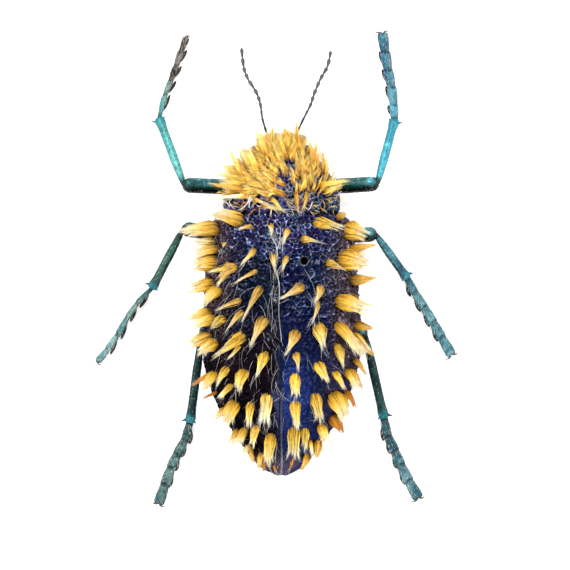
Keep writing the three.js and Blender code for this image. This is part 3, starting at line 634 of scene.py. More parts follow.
def wing_tint(across, along, side, rim, mark, lit):
    """Dark pits in a net of rims: violet and blue at the front, steel inland, plum towards the margin, with
    painted shade in the pits and painted highlights and glints on rims that face the key light.
    """
    blotch = drift(across * 0.7 + 3, along * 0.5 + 9 * side)
    speck = drift(across * 3.1 + 17, along * 3.1 + 5)
    grain = drift(across * 7 + 5, along * 7 + 23)
    front = smooth(5, 9, along) * (1 - smooth(3.5, 6.5, across))
    inland = 1 - smooth(3.6, 7.2, across + 1.5 * (blotch - 0.5))
    rims = blend(PLUM, STEEL, inland)
    rims = blend(rims, TEAL_GLINT, 0.8 * smooth(0.4, 0.65, blotch) * smooth(-3, 3, along) * inland)
    bright = blend(VIOLET, PERIWINKLE, smooth(0.4, 0.8, mark))
    rims = blend(rims, bright, front * (1 - 0.5 * smooth(0.5, 0.7, blotch)))
    # Rims dimmed towards the rear, more on the left wing case: painted shade.
    rims = blend(rims, SHADED_RIM, smooth(3, -5, along) * (0.85 if side < 0 else 0.4))
    # Pale lilac specks on rim sides that face the key light, a little more at the front: painted
    # highlights.
    rims = blend(rims, LILAC, 0.85 * smooth(0.52, 0.76, speck + 0.14 * front) * smooth(-6, 6, along) * lit)
    patches = 0.35 + 1.3 * smooth(0.3, 0.75, drift(across * 1.7 + 9, along * 1.7 + 2))
    # Rims count for more where they face the key light: painted highlight.
    share = patches * rim**1.3 * (0.2 + 0.8 * lit) * (0.25 + 0.75 * mark)
    share = share * (0.4 + 1.14 * front) * (0.5 + grain)
    # The two wing cases differ by painted reflection: the right one gets bluer pits, brighter rims and a
    # royal blue band, the left one darker pits and a dark band.
    if side > 0:
        pits = blend(blend(MOLE, NAVY, inland), DUSK, 0.8 * front)
        pits = blend(pits, SLATE_BLUE, 0.8 * smooth(-2, -7, along))
        deep = blend(ROYAL, STEEL, 0.2 * smooth(0.5, 0.8, grain))
        share *= 1.75 - 0.75 * inland
    else:
        pits = blend(INK, UMBER, smooth(-3, 4, along))
        pits = blend(blend(pits, NIGHT, inland * smooth(-4, 2, along)), DUSK, 0.8 * front)
        deep = blend(LEFT_BAND, STEEL, 0.25 * grain)
        share *= 1 - 0.5 * inland * smooth(8.5, 4.5, along)
    # Pits against rims: the hues are the cuticle's own, but the dark pits are partly painted shade and the
    # bright rims partly painted highlight.
    tint = blend(pits, rims, np.clip(0.03 + share, 0, 1))
    # Painted glints: bright spots on rims that face the key light, reaching further back on the right wing
    # case than on the left.
    ahead = smooth(-3, 3, along) if side > 0 else smooth(1, 8, along)
    glint = rim**2 * smooth(0.5, 0.95, lit) * smooth(0.35, 0.75, mark) * ahead
    gleam = blend(GLEAM, blend(PERIWINKLE, LILAC, 0.5 * speck), inland)
    tint = blend(tint, gleam, (0.4 + 0.25 * front) * glint)
    # The band by the suture: royal blue on the right wing case as painted reflection, dark on the left.
    tint = blend(tint, deep, wing_strip(across, along, side) * smooth(5, -3, along))
    tint = blend(tint, DUST, 0.5 * smooth(-12.5, -15, along))
    # A pale lilac line along the rear of the suture: a painted highlight on its edge.
    return blend(tint, LILAC, 0.3 * smooth(0.09, 0.02, across) * smooth(-6, -11, along))


def wing_case(side):
    along = np.linspace(ELYTRA_FRONT, ELYTRA_TIP, WING_ROWS)
    grid = np.empty((WING_ROWS, WING_COLUMNS, 3))
    across = np.empty((WING_ROWS, WING_COLUMNS))
    for row, y in enumerate(along):
        x, z, run = ELYTRA.arc(y, WING_COLUMNS)
        grid[row] = cut_at(y, x, z)
        across[row] = run
    lengthwise = np.repeat(along[:, None], WING_COLUMNS, 1)
    normals = unit(np.cross(np.gradient(grid, axis=0), np.gradient(grid, axis=1)))
    from_margin = across[:, -1:] - across
    edge = np.minimum(smooth(0, 0.3, across), smooth(0, 0.25, from_margin))
    pit, rim, mark = wing_pits(across, lengthwise, side)
    relief = wing_relief(across, lengthwise, side, pit, rim) * edge
    bead = 0.06 * bulge(across - 0.08, 0.07) + 0.12 * bulge(from_margin - 0.2, 0.16)
    shoulder = 0.2 * np.exp(-((grid[..., 0] - 5.3) ** 2 + (lengthwise - 8.6) ** 2) / 1.4)
    # Slopes that face the head, where the key light stands, count as lit and get painted highlights in
    # wing_tint.
    climb = np.gradient(relief, axis=0)
    tint = wing_tint(across, lengthwise, side, rim, mark, smooth(-0.02, 0.03, climb))
    hole = np.full(across.shape, FAR)
    if side > 0:
        hole = np.hypot(grid[..., 0] - PIN_HOLE[0], lengthwise - PIN_HOLE[1])
    burr = bulge(hole - PIN_RADIUS - 0.1, 0.08)
    relief = relief * smooth(PIN_RADIUS, PIN_RADIUS + 0.3, hole) + 0.07 * burr
    grid = grid + normals * (relief + bead + shoulder)[..., None]
    tint = blend(tint, BURR_TINT, 0.35 * burr)
    sunk = 1 - smooth(PIN_RADIUS - 0.06, PIN_RADIUS, hole)
    grid[..., 2] -= PIN_DEPTH * sunk
    # The pin hole is painted near black: painted shade in the hole.
    tint = tint * (1 - 0.99 * sunk)[..., None]
    grid, tint = turn_edges_in(grid, tint, np.array([lining(y) for y in along]))
    return grid * (side, 1, 1), tint, grid.shape[1] - LINING_COLUMNS


def wall_at(y):
    """The thickness of the wing cases, less towards their narrow tips."""
    return min(WALL, 0.35 * ELYTRA.half_width(y))


def lining(y):
    """Points under the dome, one wall's thickness in, from the margin to the suture."""
    x, z, _ = ELYTRA.arc(y, LINING_COLUMNS + 2, wall_at(y))
    return cut_at(y, x, z)[-2:0:-1]


def turn_edges_in(grid, tint, inner):
    """Rolls the margin, the suture and the ends of a wing case in, over its lining."""
    margin = [grid[:, -1] + (-inward, 0, up) for inward, up in MARGIN_ROLL]
    suture = [grid[:, 0] + (0, 0, -drop) for drop in (WALL, 0.3)]
    grid = np.concatenate([np.stack(suture, 1), grid, np.stack(margin, 1), inner], 1)
    # The rolled margin's underside and the lining take the margin's tint at 0.7: painted shade.
    under = np.repeat(tint[:, -1:] * 0.7, len(margin) + LINING_COLUMNS, 1)
    tint = np.concatenate([np.repeat(tint[:, :1], 2, 1), tint, under], 1)
    front = [grid[0] + (0, 0.1, -0.06), grid[0] + (0, 0.18, -0.4)]
    rear = [grid[-1] * (0.75, 1, 1) + (0, -0.08, -0.12), grid[-1] * (0.35, 1, 1) + (0, -0.14, -0.4)]
    grid = np.concatenate([np.stack(front[::-1]), grid, np.stack(rear)])
    tint = np.concatenate([np.repeat(tint[:1], 2, 0), tint, np.repeat(tint[-1:], 2, 0)])
    return grid, tint


for name, side in SIDES:
    case = Shape()
    case.shell(*wing_case(side))
    case.build(f"{name}_wing_case", wing_skin, "wing_case", f"{name}_elytron")


# Pronotum

SHIELD_ROWS = 96
SHIELD_COLUMNS = 112
SHIELD_PIT = 0.42


def shield():
    along = np.linspace(PRONOTUM_REAR - 0.08, PRONOTUM_FRONT, SHIELD_ROWS)
    rings = []
    for y in along:
        x, z, _ = PRONOTUM.arc(y, SHIELD_COLUMNS)
        width, low, level = PRONOTUM.half_width(y), pronotum_bottom(y), PRONOTUM.side(y)
        flank = (0.9 * width, low + 0.5 * (level - low))
        under = curve_through(((width, level), flank, (0.4 * width, low), (0, low)), 40)
        rings.append(closed_cut(y, np.concatenate([np.column_stack([x, z]), under[1:]])))
    grid = np.array(rings)
    around, y = distance_round(grid), grid[..., 1]
    pits, ridges, mark = hollows(around / SHIELD_PIT, y / SHIELD_PIT, 0.55, 0.25)
    to_front, to_rear = PRONOTUM_FRONT - y, y - PRONOTUM_REAR
    ends = np.minimum(smooth(0, 0.3, to_rear), smooth(0, 0.25, to_front))
    relief = (0.06 * ridges - 0.15 * pits) * ends
    lip = -0.35 * (1 - smooth(0, 0.35, to_front)) - 0.12 * (1 - smooth(0, 0.25, to_rear))
    grid = grid + outward_normals(grid) * (relief + lip)[..., None]
    blotch = drift(grid[..., 0] * 0.8 + 4, y * 0.8)
    rims = blend(blend(VIOLET, STEEL, 0.5), blend(STEEL, LILAC, 0.6 * mark), smooth(0.3, 0.65, blotch))
    rims = blend(rims, TEAL_GLINT, 0.6 * smooth(2, 4, grid[..., 0]) * smooth(13.8, 12.6, y))
    # Dark pits against bright ridges: partly the cuticle's own colour, partly painted shade in the pits.
    tint = blend(NIGHT, rims, (0.08 + 0.92 * ridges) * (0.4 + 0.6 * mark))
    return grid, blend(tint, DARK_TEAL, smooth(5.5, 3, grid[..., 2]))


solid(*shield()).build("shield_plate", shield_skin, "shield", "pronotum")


# Underside

TRUNK_COLUMNS = 40
TRUNK_PIT = 0.42


def trunk_ring(y, inset):
    """One section across the trunk, right half and left half, as in the solids but rounded."""
    ledge = ELYTRA.side(y) - PLATE_GAP
    width = ELYTRA.half_width(y) - LEDGE - inset
    keel = min(KEEL_HALF_WIDTH, 0.35 * width)
    low = belly(y) + inset
    flank = (0.75 * width, low + 0.5 * (ledge - low))
    slope = curve_through(((0, low), (keel, low), flank, (width, ledge - 0.4)), TRUNK_COLUMNS)
    x, z, _ = ELYTRA.arc(y, 16, wall_at(y) + PLATE_GAP)
    roof = np.column_stack([x, z])[::-1]
    roof[0, 1] = ledge
    return closed_cut(y, np.concatenate([slope, [(width, ledge)], roof]))


def trunk(stations, seed):
    grid = np.array([trunk_ring(y, inset) for y, inset in stations])
    pits, _, _ = hollows(grid[..., 0] / TRUNK_PIT + seed, grid[..., 1] / TRUNK_PIT + seed, 0.45)
    pits = pits * smooth(0.5, -0.1, grid[..., 2] - ELYTRA.side(grid[..., 1]) + 0.6)
    keel = smooth(0.02, 0.3, grid[..., 2])
    grid = grid - outward_normals(grid) * (0.06 * pits * keel)[..., None]
    blotch = drift(grid[..., 0] * 0.9, grid[..., 1] * 0.9 + seed)
    tint = blend(DARK_TEAL, ROYAL, 0.6 * smooth(0.4, 0.8, blotch))
    # Darker in the pits: painted shade.
    return grid, tint * (1 - 0.5 * pits)[..., None]


def belly_stations():
    """The belly plates: each ends in a rounded rim over the next, which starts a step higher."""
    stations = []
    for front, rear in zip(BELLY_EDGES, BELLY_EDGES[1:]):
        for share in np.linspace(0, 1, 26):
            y = front - 0.05 + (rear - front + 0.05) * share
            stations.append((y, PLATE_STEP * (1 - smooth(0, 0.7, share)) + 0.05 * smooth(0.95, 1, share)))
    return stations


chest_stations = [(y, 0) for y in np.linspace(ELYTRA_FRONT - PLATE_GAP, THORAX_REAR, 90)]
solid(*trunk(chest_stations, 3)).build("chest", belly_skin, "underside", "thorax")
solid(*trunk(belly_stations(), 9)).build("belly_plates", belly_skin, "underside", "abdomen")


# Head, eyes and jaws

SKULL_CENTRE = (0, HEAD_BACK, 4.4)
SKULL = (2.4, 0.85, 2.8)
SKULL_PIT = 0.36
EYE_CENTRE = (2.05, 18.05, 5.1)
EYE = (0.5, 0.5, 1.1)
JAW = ((1.05, 18, 2.5), (0.98, 18.45, 1.6), (0.75, 18.62, 1.15), (0.35, 18.6, 0.9))


def skull():
    grid = ellipsoid(SKULL_CENTRE, SKULL, 70, 90)
    pits, ridges, mark = hollows(grid[..., 0] / SKULL_PIT, grid[..., 2] / SKULL_PIT + 7, 0.5, 0.3)
    groove = bulge(grid[..., 0], 0.22) * smooth(3.5, 6, grid[..., 2])
    away = unit(grid - np.array(SKULL_CENTRE))
    grid = grid - away * (0.09 * pits + 0.16 * groove)[..., None]
    rims = blend(VIOLET, STEEL, smooth(0.3, 0.7, drift(grid[..., 0], grid[..., 2])))
    # Dark pits against bright ridges: partly the cuticle's own colour, partly painted shade in the pits.
    return grid, blend(NIGHT, rims, (0.08 + 0.7 * ridges) * (0.3 + 0.7 * mark))


solid(*skull()).build("head_skin", shield_skin, "shield", "head")
for name, side in SIDES:
    eye = ellipsoid(np.array(EYE_CENTRE) * (side, 1, 1), EYE, 24, 36)
    solid(eye, BROWN).build(f"{name}_eye_lens", eye_skin, "eye", f"{name}_eye")
    route = curve_through(np.array(JAW) * (side, 1, 1), 16)
    half = np.linspace(1, 0, len(route)) ** 0.7 * 0.42 + 0.03
    jaw = rings_along(route, half, half, np.array([0.0, 1, 0]), 16)
    solid(jaw, JAW_TINT).build(f"{name}_jaw", horn_skin, "antenna", f"{name}_mandible")


# Antennae

FEELER_TINTS = palette((50, 60, 52), (80, 84, 78), (78, 74, 70))


def feeler(route):
    """A stalk of joints that widen towards their ends, the first ones less than the others."""
    steps = 8
    path = curve_through(route, ANTENNA_JOINTS * steps + 1)
    share = np.arange(len(path)) / steps
    joint = np.minimum(share.astype(int), ANTENNA_JOINTS - 1)
    within = share - joint
    swell = np.where(within < 0.8, within / 0.8, (1 - within) / 0.2).clip(0, 1)
    toothed = smooth(2, 4, joint.astype(float))
    half = 0.095 + swell * (0.05 + 0.09 * toothed)
    half[-3:] *= (0.8, 0.55, 0.2)
    return rings_along(path, half, 0.09 + 0.04 * swell, DOWN, 10), swell


for name, route in ANTENNAE.items():
    rings, swell = feeler(route)
    run = np.linspace(0, 1, len(rings))
    low, middle, high = FEELER_TINTS
    tint = blend(blend(low, middle, smooth(0, 0.5, run)), high, smooth(0.6, 0.9, run))
    stalk = solid(rings, (tint * (0.8 + 0.3 * swell)[:, None])[:, None])
    stalk.build(f"{name}_feeler", horn_skin, "antenna", f"{name}_antenna")


# Legs


def inwards(axis, side):
    """The way in towards the midline, level and square to an axis."""
    level = unit(np.array([-axis[1], axis[0], 0.0]))
    return -level if level[0] * side > 0 else level


def pitted(rings, spacing, depth):
    """Rings with fine pits, and how deep each point lies in one."""
    run = np.concatenate([[0], np.cumsum(np.linalg.norm(np.diff(rings.mean(1), axis=0), axis=1))])[:, None]
    around = distance_round(rings)
    pits, _, _ = hollows(around / spacing, np.broadcast_to(run, around.shape) / spacing, 0.5)
    return rings - outward_normals(rings) * (depth * pits)[..., None], pits


def leg_tint(rings, pits, lit, base, glow, shade):
    """Leg colour: painted bright where it faces the light, painted shade away from it, and painted shade in
    the pits.
    """
    facing = (outward_normals(rings) * np.array(lit)).sum(-1)
    patch = drift(rings[..., 0] * 0.8 + 3, rings[..., 1] * 0.8 + 8)
    fleck = drift(rings[..., 0] * 4 + 1, rings[..., 1] * 4 + 6)
    tint = blend(shade, base, smooth(-0.3, 0.75, facing))
    tint = blend(tint, glow, smooth(0.1, 0.9, facing) * smooth(0.3, 0.75, 0.6 * patch + 0.4 * fleck))
    # Darker in the pits: painted shade.
    return tint * (1 - 0.45 * pits)[..., None]


KNEE_REACH = 0.1
HIP_GAP = 0.3
FEMUR = profile((0, 0.5), (0.2, 0.66), (0.55, 0.78), (0.88, 0.78), (0.96, 0.66), (1, 0.36))
TIBIA_WIDTH = profile(
    (0, 0.22), (0.06, 0.3), (0.25, 0.41), (0.45, 0.46), (0.7, 0.45), (0.85, 0.46), (0.95, 0.54), (1, 0.47)
)


def thigh(hip, knee):
    share = np.linspace(0, 1, 44)
    axis = unit(knee - hip)
    start = hip + axis * (COXA[0] + HIP_GAP)
    path = start + (knee + axis * KNEE_REACH - start) * share[:, None]
    rings = rings_along(path, FEMUR(share), FEMUR(share), DOWN, 32)
    return pitted(rings, 0.3, 0.035)


def shin(knee, ankle):
    share = np.linspace(0, 1, 56)
    path = knee + (ankle - knee) * share[:, None]
    rings = rings_along(path, TIBIA_WIDTH(share), 0.9 * TIBIA_WIDTH(share), DOWN, 28)
    return pitted(rings, 0.26, 0.03)


def spur(knee, ankle, side, reach):
    """A tooth at a shin's end, on the outer side, or with a reach below zero on the inner one."""
    axis = unit(ankle - knee)
    outer = -inwards(axis, side)
    elbow = ankle - 0.3 * axis + 0.45 * reach * outer
    route = curve_through((ankle - 0.75 * axis, elbow, ankle + reach * outer), 12)
    half = np.linspace(0.3, 0.03, len(route))
    return rings_along(route, half, half, DOWN, 12)


def foot_joint(start, end, sole, size, last):
    """One foot joint: widening a little to two low lobes that overlap the root of the next."""
    share = np.linspace(0, 1, 20)
    axis = unit(end - start)
    path = start + (end - start) * (0.02 + 1.02 * share[:, None])
    width = size[0] * (0.84 + 0.16 * smooth(0, 0.7, share))
    width[-2:] *= (0.94, 0.78)
    depth = size[1] * (0.7 + 0.3 * smooth(0, 0.7, share))
    depth[-2:] *= (0.85, 0.5)
    rings = rings_along(path, width, depth, sole, 24)
    lobes = (0 if last else 0.24) * smooth(0.5, 1, share)[:, None] * np.cos(turns(rings.shape[1])) ** 2
    return pitted(rings + axis * lobes[..., None], 0.2, 0.035)


def foot_pad(start, end, sole, inner, reach):
    """The dark pad under a foot joint's end, showing on its inner side."""
    share = np.linspace(0, 1, 12)
    path = start + (end - start) * (0.4 + 0.8 * share[:, None])
    path = path + sole * (0.1 + 0.16 * share[:, None]) + inner * (0.8 * reach + reach * share[:, None])
    swell = np.sin(np.pi * np.clip(share * 0.9 + 0.08, 0, 1)) ** 0.6
    return rings_along(path, 0.34 * swell + 0.02, 0.16 * swell + 0.02, sole, 14)


def claw(end, axis, across, sole, way):
    route = curve_through((
        end - 0.2 * axis,
        end + 0.12 * axis + 0.22 * way * across,
        end + 0.18 * axis + 0.52 * way * across + 0.06 * sole,
        end + 0.02 * axis + 0.76 * way * across + 0.18 * sole,
    ), 16)
    half = np.linspace(0.14, 0.03, len(route))
    return rings_along(route, half, half, sole, 10)


# Hairs: a direction that few of them run in, and half their thickness

HAIR_SIDE = np.array([0.31, 0.2, 0.93])
FINE_RADIUS = 0.012
BRISTLE_RADIUS = 0.009
LOCK_RADII = (0.016, 0.032)
FUR_RADII = (0.013, 0.026)
WHITE_RADII = (0.006, 0.011)


def bend(roots, mids, tips, points):
    """Paths from roots to tips that lean towards the points between them."""
    t = np.linspace(0, 1, points)[None, :, None]
    return roots[:, None] * (1 - t) ** 2 + 2 * mids[:, None] * t * (1 - t) + tips[:, None] * t**2


def strands(paths, radius, tints, shape):
    """Hairs as slim three-sided spikes along paths, with a tint at each point."""
    count, points = paths.shape[:2]
    axis = unit(paths[:, -1] - paths[:, 0])
    first = unit(np.cross(axis, HAIR_SIDE))
    second = np.cross(axis, first)
    turn = turns(3)[:, None]
    around = first[:, None] * np.cos(turn) + second[:, None] * np.sin(turn)
    taper = 1 - 0.35 * np.linspace(0, 1, points - 1) ** 1.5
    size = np.broadcast_to(radius, count)[:, None] * taper
    rings = paths[:, :-1, None] + around[:, None] * size[..., None, None]
    at = np.arange(rings[..., 0].size).reshape(rings.shape[:3])
    tip = np.broadcast_to(at.size + np.arange(count)[:, None], (count, 3))
    ends = np.stack([at[:, -1], np.roll(at[:, -1], -1, axis=1), tip], -1).reshape(-1, 3)
    closed = np.concatenate([ends, at[:, 0, ::-1]])
    tints = np.broadcast_to(tints, paths.shape)
    ring_tints = np.broadcast_to(tints[:, :-1, None], rings.shape).reshape(-1, 3)
    every_point = np.concatenate([rings.reshape(-1, 3), paths[:, -1]])
    shape.add(every_point, np.concatenate([ring_tints, tints[:, -1]]), ring_quads(at), closed)


def leg_points(leg):
    ankle = np.array(leg["ankle"], float)
    foot = np.array([ankle] + [(x, y, z) for (x, y), z in zip(leg["foot"], FOOT_HEIGHTS)])
    return np.array(leg["coxa"], float), np.array(leg["knee"], float), ankle, foot


PALE = linear(226, 222, 200)


def fringe(rings, shape, count, length, lean):
    """Short pale hairs that stand off a limb and lean along it."""
    rows = random.integers(2, len(rings) - 2, count)
    columns = random.integers(0, rings.shape[1], count)
    roots = rings[rows, columns]
    out = unit(roots - rings.mean(1)[rows])
    axis = unit(rings.mean(1)[np.minimum(rows + 1, len(rings) - 1)] - rings.mean(1)[rows - 1])
    size = length * random.uniform(0.6, 1.2, count)[:, None]
    tips = roots + (out + lean * axis) * size
    tips[:, 2] = np.maximum(tips[:, 2], 0.03)
    mids = roots + (0.8 * out + 0.3 * lean * axis) * size * 0.5
    strands(bend(roots - 0.03 * out, mids, tips, 4), FINE_RADIUS, PALE, shape)


FROM_ABOVE = (0, 0.5, 0.87)
FROM_AHEAD = (0, 0.9, 0.44)
TURQUOISE_END = linear(30, 118, 132)
FEMUR_TINTS = palette((36, 84, 80), (100, 172, 190), (8, 10, 8))
SHIN_TINTS = {
    "front_left": palette((66, 138, 138), (96, 170, 166), (26, 76, 78)),
    "front_right": palette((52, 132, 150), (78, 168, 184), (20, 72, 84)),
    "middle_left": palette((30, 60, 52), (58, 94, 84), (12, 24, 20)),
    "middle_right": palette((38, 86, 102), (70, 124, 134), (14, 40, 48)),
    "hind_left": palette((20, 46, 46), (40, 72, 70), (8, 18, 18)),
    "hind_right": palette((20, 48, 48), (48, 78, 74), (8, 18, 18)),
}
FOOT_TINTS = {
    "front_left": palette((37, 30, 30), (122, 115, 111), (12, 9, 11)),
    "front_right": palette((42, 91, 114), (88, 138, 154), (17, 31, 38)),
    "middle_left": palette((67, 117, 121), (130, 161, 157), (20, 40, 41)),
    "middle_right": palette((43, 97, 110), (98, 146, 153), (17, 36, 41)),
    "hind_left": palette((37, 70, 73), (87, 116, 115), (14, 24, 25)),
    "hind_right": palette((41, 84, 95), (93, 130, 138), (15, 29, 32)),
}
FOOT_SIZES = {
    "front_left": (0.5, 0.32), "front_right": (0.66, 0.32), "middle_left": (0.46, 0.32),
    "middle_right": (0.6, 0.3), "hind_left": (0.6, 0.3), "hind_right": (0.62, 0.3),
}
PAD_REACH = {
    "front_left": 0.14, "front_right": 0.2, "middle_left": 0.15,
    "middle_right": 0.22, "hind_left": 0.21, "hind_right": 0.21,
}
FOOT_GROWTH = (0.9, 0.97, 1.03, 1.06, 1.1)

for name, leg in LEGS.items():
    hip, knee, ankle, foot = leg_points(leg)
    ball = solid(ellipsoid(hip, COXA, 20, 28), DARK_TEAL)
    ball.build(f"{name}_hip", belly_skin, "underside", f"{name}_coxa")

    upper = Shape()
    rings, pits = thigh(hip, knee)
    tint = leg_tint(rings, pits, FROM_AHEAD, *FEMUR_TINTS)
    upper.tube(rings, tint * (1 - 0.85 * smooth(0.95, 1, np.linspace(0, 1, len(rings))))[:, None, None])
    fringe(rings, upper, count=120, length=0.3, lean=0.8)
    upper.build(f"{name}_thigh", leg_skin, "leg", f"{name}_femur")

    lower = Shape()
    rings, pits = shin(knee, ankle)
    run = np.linspace(0, 1, len(rings))[:, None]
    tint = leg_tint(rings, pits, FROM_ABOVE, *SHIN_TINTS[name])
    tint = blend(tint, TURQUOISE_END, np.broadcast_to(0.6 * smooth(0.86, 0.97, run), pits.shape))
    lower.tube(rings, tint * (0.15 + 0.85 * smooth(0.04, 0.12, run))[..., None])
    for reach in (0.88, -0.6):
        lower.tube(spur(knee, ankle, leg["side"], reach), 0.7 * SHIN_TINTS[name][0])
    fringe(rings, lower, count=90, length=0.18, lean=1.1)
    lower.build(f"{name}_shin", leg_skin, "leg", f"{name}_tibia")

    paw = Shape()
    run = unit(foot[-1] - foot[0])
    tuck = math.radians(leg["tuck"])
    inner = inwards(run, leg["side"])
    sole = math.cos(tuck) * DOWN + math.sin(tuck) * inner
    spread = unit(np.cross(run, sole if tuck > 1 else DOWN))
    for i, (start, end) in enumerate(zip(foot, foot[1:])):
        last = i == len(foot) - 2
        rings, pits = foot_joint(start, end, sole, FOOT_GROWTH[i] * np.array(FOOT_SIZES[name]), last)
        tint = leg_tint(rings, pits, FROM_ABOVE, *FOOT_TINTS[name])
        tint = blend(tint, SHIN_TINTS[name][0], max(0.6 - 0.3 * i, 0))
        # Each foot joint is darkened at its root: a painted shadow under the end of the part before it.
        paw.tube(rings, tint * (0.3 + 0.7 * smooth(0, 0.3, np.linspace(0, 1, len(rings))))[:, None, None])
        fringe(rings, paw, count=60, length=0.18, lean=1.8)
        if not last:
            paw.tube(foot_pad(start, end, sole, inner, PAD_REACH[name]), PAD)
    for way in (-1, 1):
        paw.tube(claw(foot[-1], run, spread, sole, way), CLAW)
    paw.build(f"{name}_foot", foot_skin, "foot", f"{name}_tarsus")


# Locks of hair

HAIR_TINTS = {
    GOLD: palette((214, 164, 40), (248, 216, 106), (253, 248, 222)),
    TAN: palette((198, 150, 50), (234, 194, 100), (252, 240, 212)),
    HONEY: palette((208, 156, 36), (243, 199, 82), (254, 249, 224)),
    AMBER: palette((200, 146, 38), (232, 182, 76), (240, 198, 116)),
    RUST: palette((194, 124, 28), (216, 146, 44), (196, 122, 50)),
    CREAM: palette((236, 192, 84), (255, 240, 176), (255, 254, 246)),
    FUR: palette((216, 154, 34), (255, 218, 92), (255, 244, 172)),
    EMBER: palette((204, 134, 28), (246, 186, 64), (250, 208, 108)),
}
WISP = linear(240, 235, 224)
FIBRE_LAYERS = 5


def lock(dome, spec, shape):
    """One lock: hairs that rise round a patch of skin, bow over, draw together and end in a few points."""
    x, y, tip_x, tip_y, width, shade = spec
    edge = 0.955 * dome.half_width(y)
    x = float(np.clip(x, -edge, edge))
    root = np.array([x, y, dome.height(x, y)])
    lean = np.array([tip_x - x, tip_y - y, 0.0])
    length = np.linalg.norm(lean)
    ahead = lean / length
    beside = np.array([-ahead[1], ahead[0], 0.0])
    over = abs(tip_x) > dome.half_width(tip_y) - 0.1
    tip_z = root[2] + 0.08 * length if over else dome.height(tip_x, tip_y) + 0.2
    tip = np.array([tip_x, tip_y, max(tip_z, root[2] - 0.7 * length)])

    shade = HONEY if over and shade == GOLD else shade
    furry = shade in (FUR, EMBER)
    width *= 0.85 if furry else 1.15 if over else 1
    sparse = furry or shade == RUST
    count = int(30 + 100 * width if sparse else 50 + 115 * width + over * (10 + 15 * width))
    sideways, forward = patch(count, 0.45 * width, 0.4 * width)
    around = beside * sideways[:, None] + ahead * forward[:, None]
    spot = root + around
    dome.settle(spot, 0.985)
    outward = dome.normal(np.clip(spot[:, 0], -edge, edge), spot[:, 1])

    points = int(2.5 + 4 * width)
    place = sideways / width + 0.5
    point = (place + 0.08 * random.standard_normal(count)) * points
    point = np.clip(point, 0, points - 1).astype(int)
    centre = ((np.arange(points) + 0.5) / points - 0.5) * width
    pointed = shade in (RUST, AMBER)
    fanned = over and not pointed
    gather = random.uniform(0.08, 0.2) + 0.8 * smooth(-3, -6.5, y) + 0.5 * smooth(9, 9.6, y)
    gather = 0.65 * gather if shade == TAN else gather + 0.2 * (width > 1.15)
    gather = random.uniform(0.3, 0.5) if pointed else random.uniform(0.75, 1.15) if over else gather
    gather = random.uniform(0.35, 0.9) if furry else gather
    scatter = 0.14 if fanned else 0.07
    shortest = 0.55 if furry else 0.35
    reach = random.uniform(0.78, 1.4 if fanned else 1.2, points)[point]
    reach *= 1 - shortest * random.random(count) ** 2
    fray = (0.1 if furry else 0.06 if over or width > 1.15 else 0.035) * random.standard_normal(count)
    spread = gather * (centre + scatter * random.standard_normal(points))[point] + fray
    tips = tip + ahead * (length * (reach - 1))[:, None] + beside * spread[:, None]
    tips[:, 2] += (0.2 * width * random.random(points))[point] + 0.05 * random.random(count)
    waist = spot + 0.62 * (tips - spot) + outward * (0.1 + 0.12 * width)
    girth = 0.3 if over else 0 if shade == TAN else 0.12
    waist += beside * (girth * sideways - (0.38 * sideways + 0.62 * spread))[:, None]
    crown = spot + outward * (0.16 + 0.26 * width) + 0.35 * around + ahead * (0.06 * length)
    stray = np.where(random.random(count) < 0.2, 3, 1)[:, None] * (1.8 if furry else 1)
    crown += 0.065 * stray * random.standard_normal(crown.shape)
    tips += 0.03 * stray * random.standard_normal(tips.shape)

    layer = np.clip((forward / width + 0.5) * FIBRE_LAYERS, 0, FIBRE_LAYERS - 1).astype(int)
    fibre = FIBRE_LAYERS * np.clip(place * 2 * points, 0, 2 * points - 1).astype(int) + layer
    dim = random.random(2 * FIBRE_LAYERS * points) < 0.3
    tone = random.uniform(np.where(dim, 0.15, 0.75), np.where(dim, 0.55, 1.3))[fibre]
    tone *= random.uniform(0.75, 1.2, count)
    # Locks over the margin get their tones lifted: painted light against their own shade.
    tone = 0.45 + 0.6 * tone if over else (0.92 + 0.12 * smooth(-1, -4, y)) * tone
    shades = lock_shades(HAIR_TINTS[shade], tone[:, None])
    radius = random.uniform(*LOCK_RADII, count) * (0.75 if furry else 1)
    strands(sweep(spot - 0.05 * outward, crown, waist, tips, 5), radius, shades, shape)
    core(root, tip, outward.mean(0), (0.5 if furry else 1) * width, gather, HAIR_TINTS[shade][0], shape)
    wisps(dome, tip, ahead, beside, width, over, shape)


def lock_shades(tints, tone):
    """Tints along a lock's hairs: dull where they rise, partly the hair's own amber and partly painted
    shade, bright past the bend and pale at the tips.
    """
    dull, bright, pale = tints
    middle = 0.5 * (bright + pale)
    rising = (0.6 * dull * tone, dull * tone, bright * (0.25 + 0.75 * tone))
    return np.stack((*rising, middle * (0.4 + 0.6 * tone), pale + 0 * tone), 1)


def sweep(roots, seconds, thirds, tips, points):
    """Paths from roots to tips, drawn to two points between them."""
    t = np.linspace(0, 1, points)[None, :, None]
    first = roots[:, None] * (1 - t) ** 3 + 3 * seconds[:, None] * t * (1 - t) ** 2
    return first + 3 * thirds[:, None] * t**2 * (1 - t) + tips[:, None] * t**3


def patch(count, half_across, half_along):
    """Scattered places in an ellipse: across it and along it."""
    reach = np.sqrt(random.random(count))
    turn = random.uniform(0, 2 * np.pi, count)
    return half_across * reach * np.cos(turn), half_along * reach * np.sin(turn)


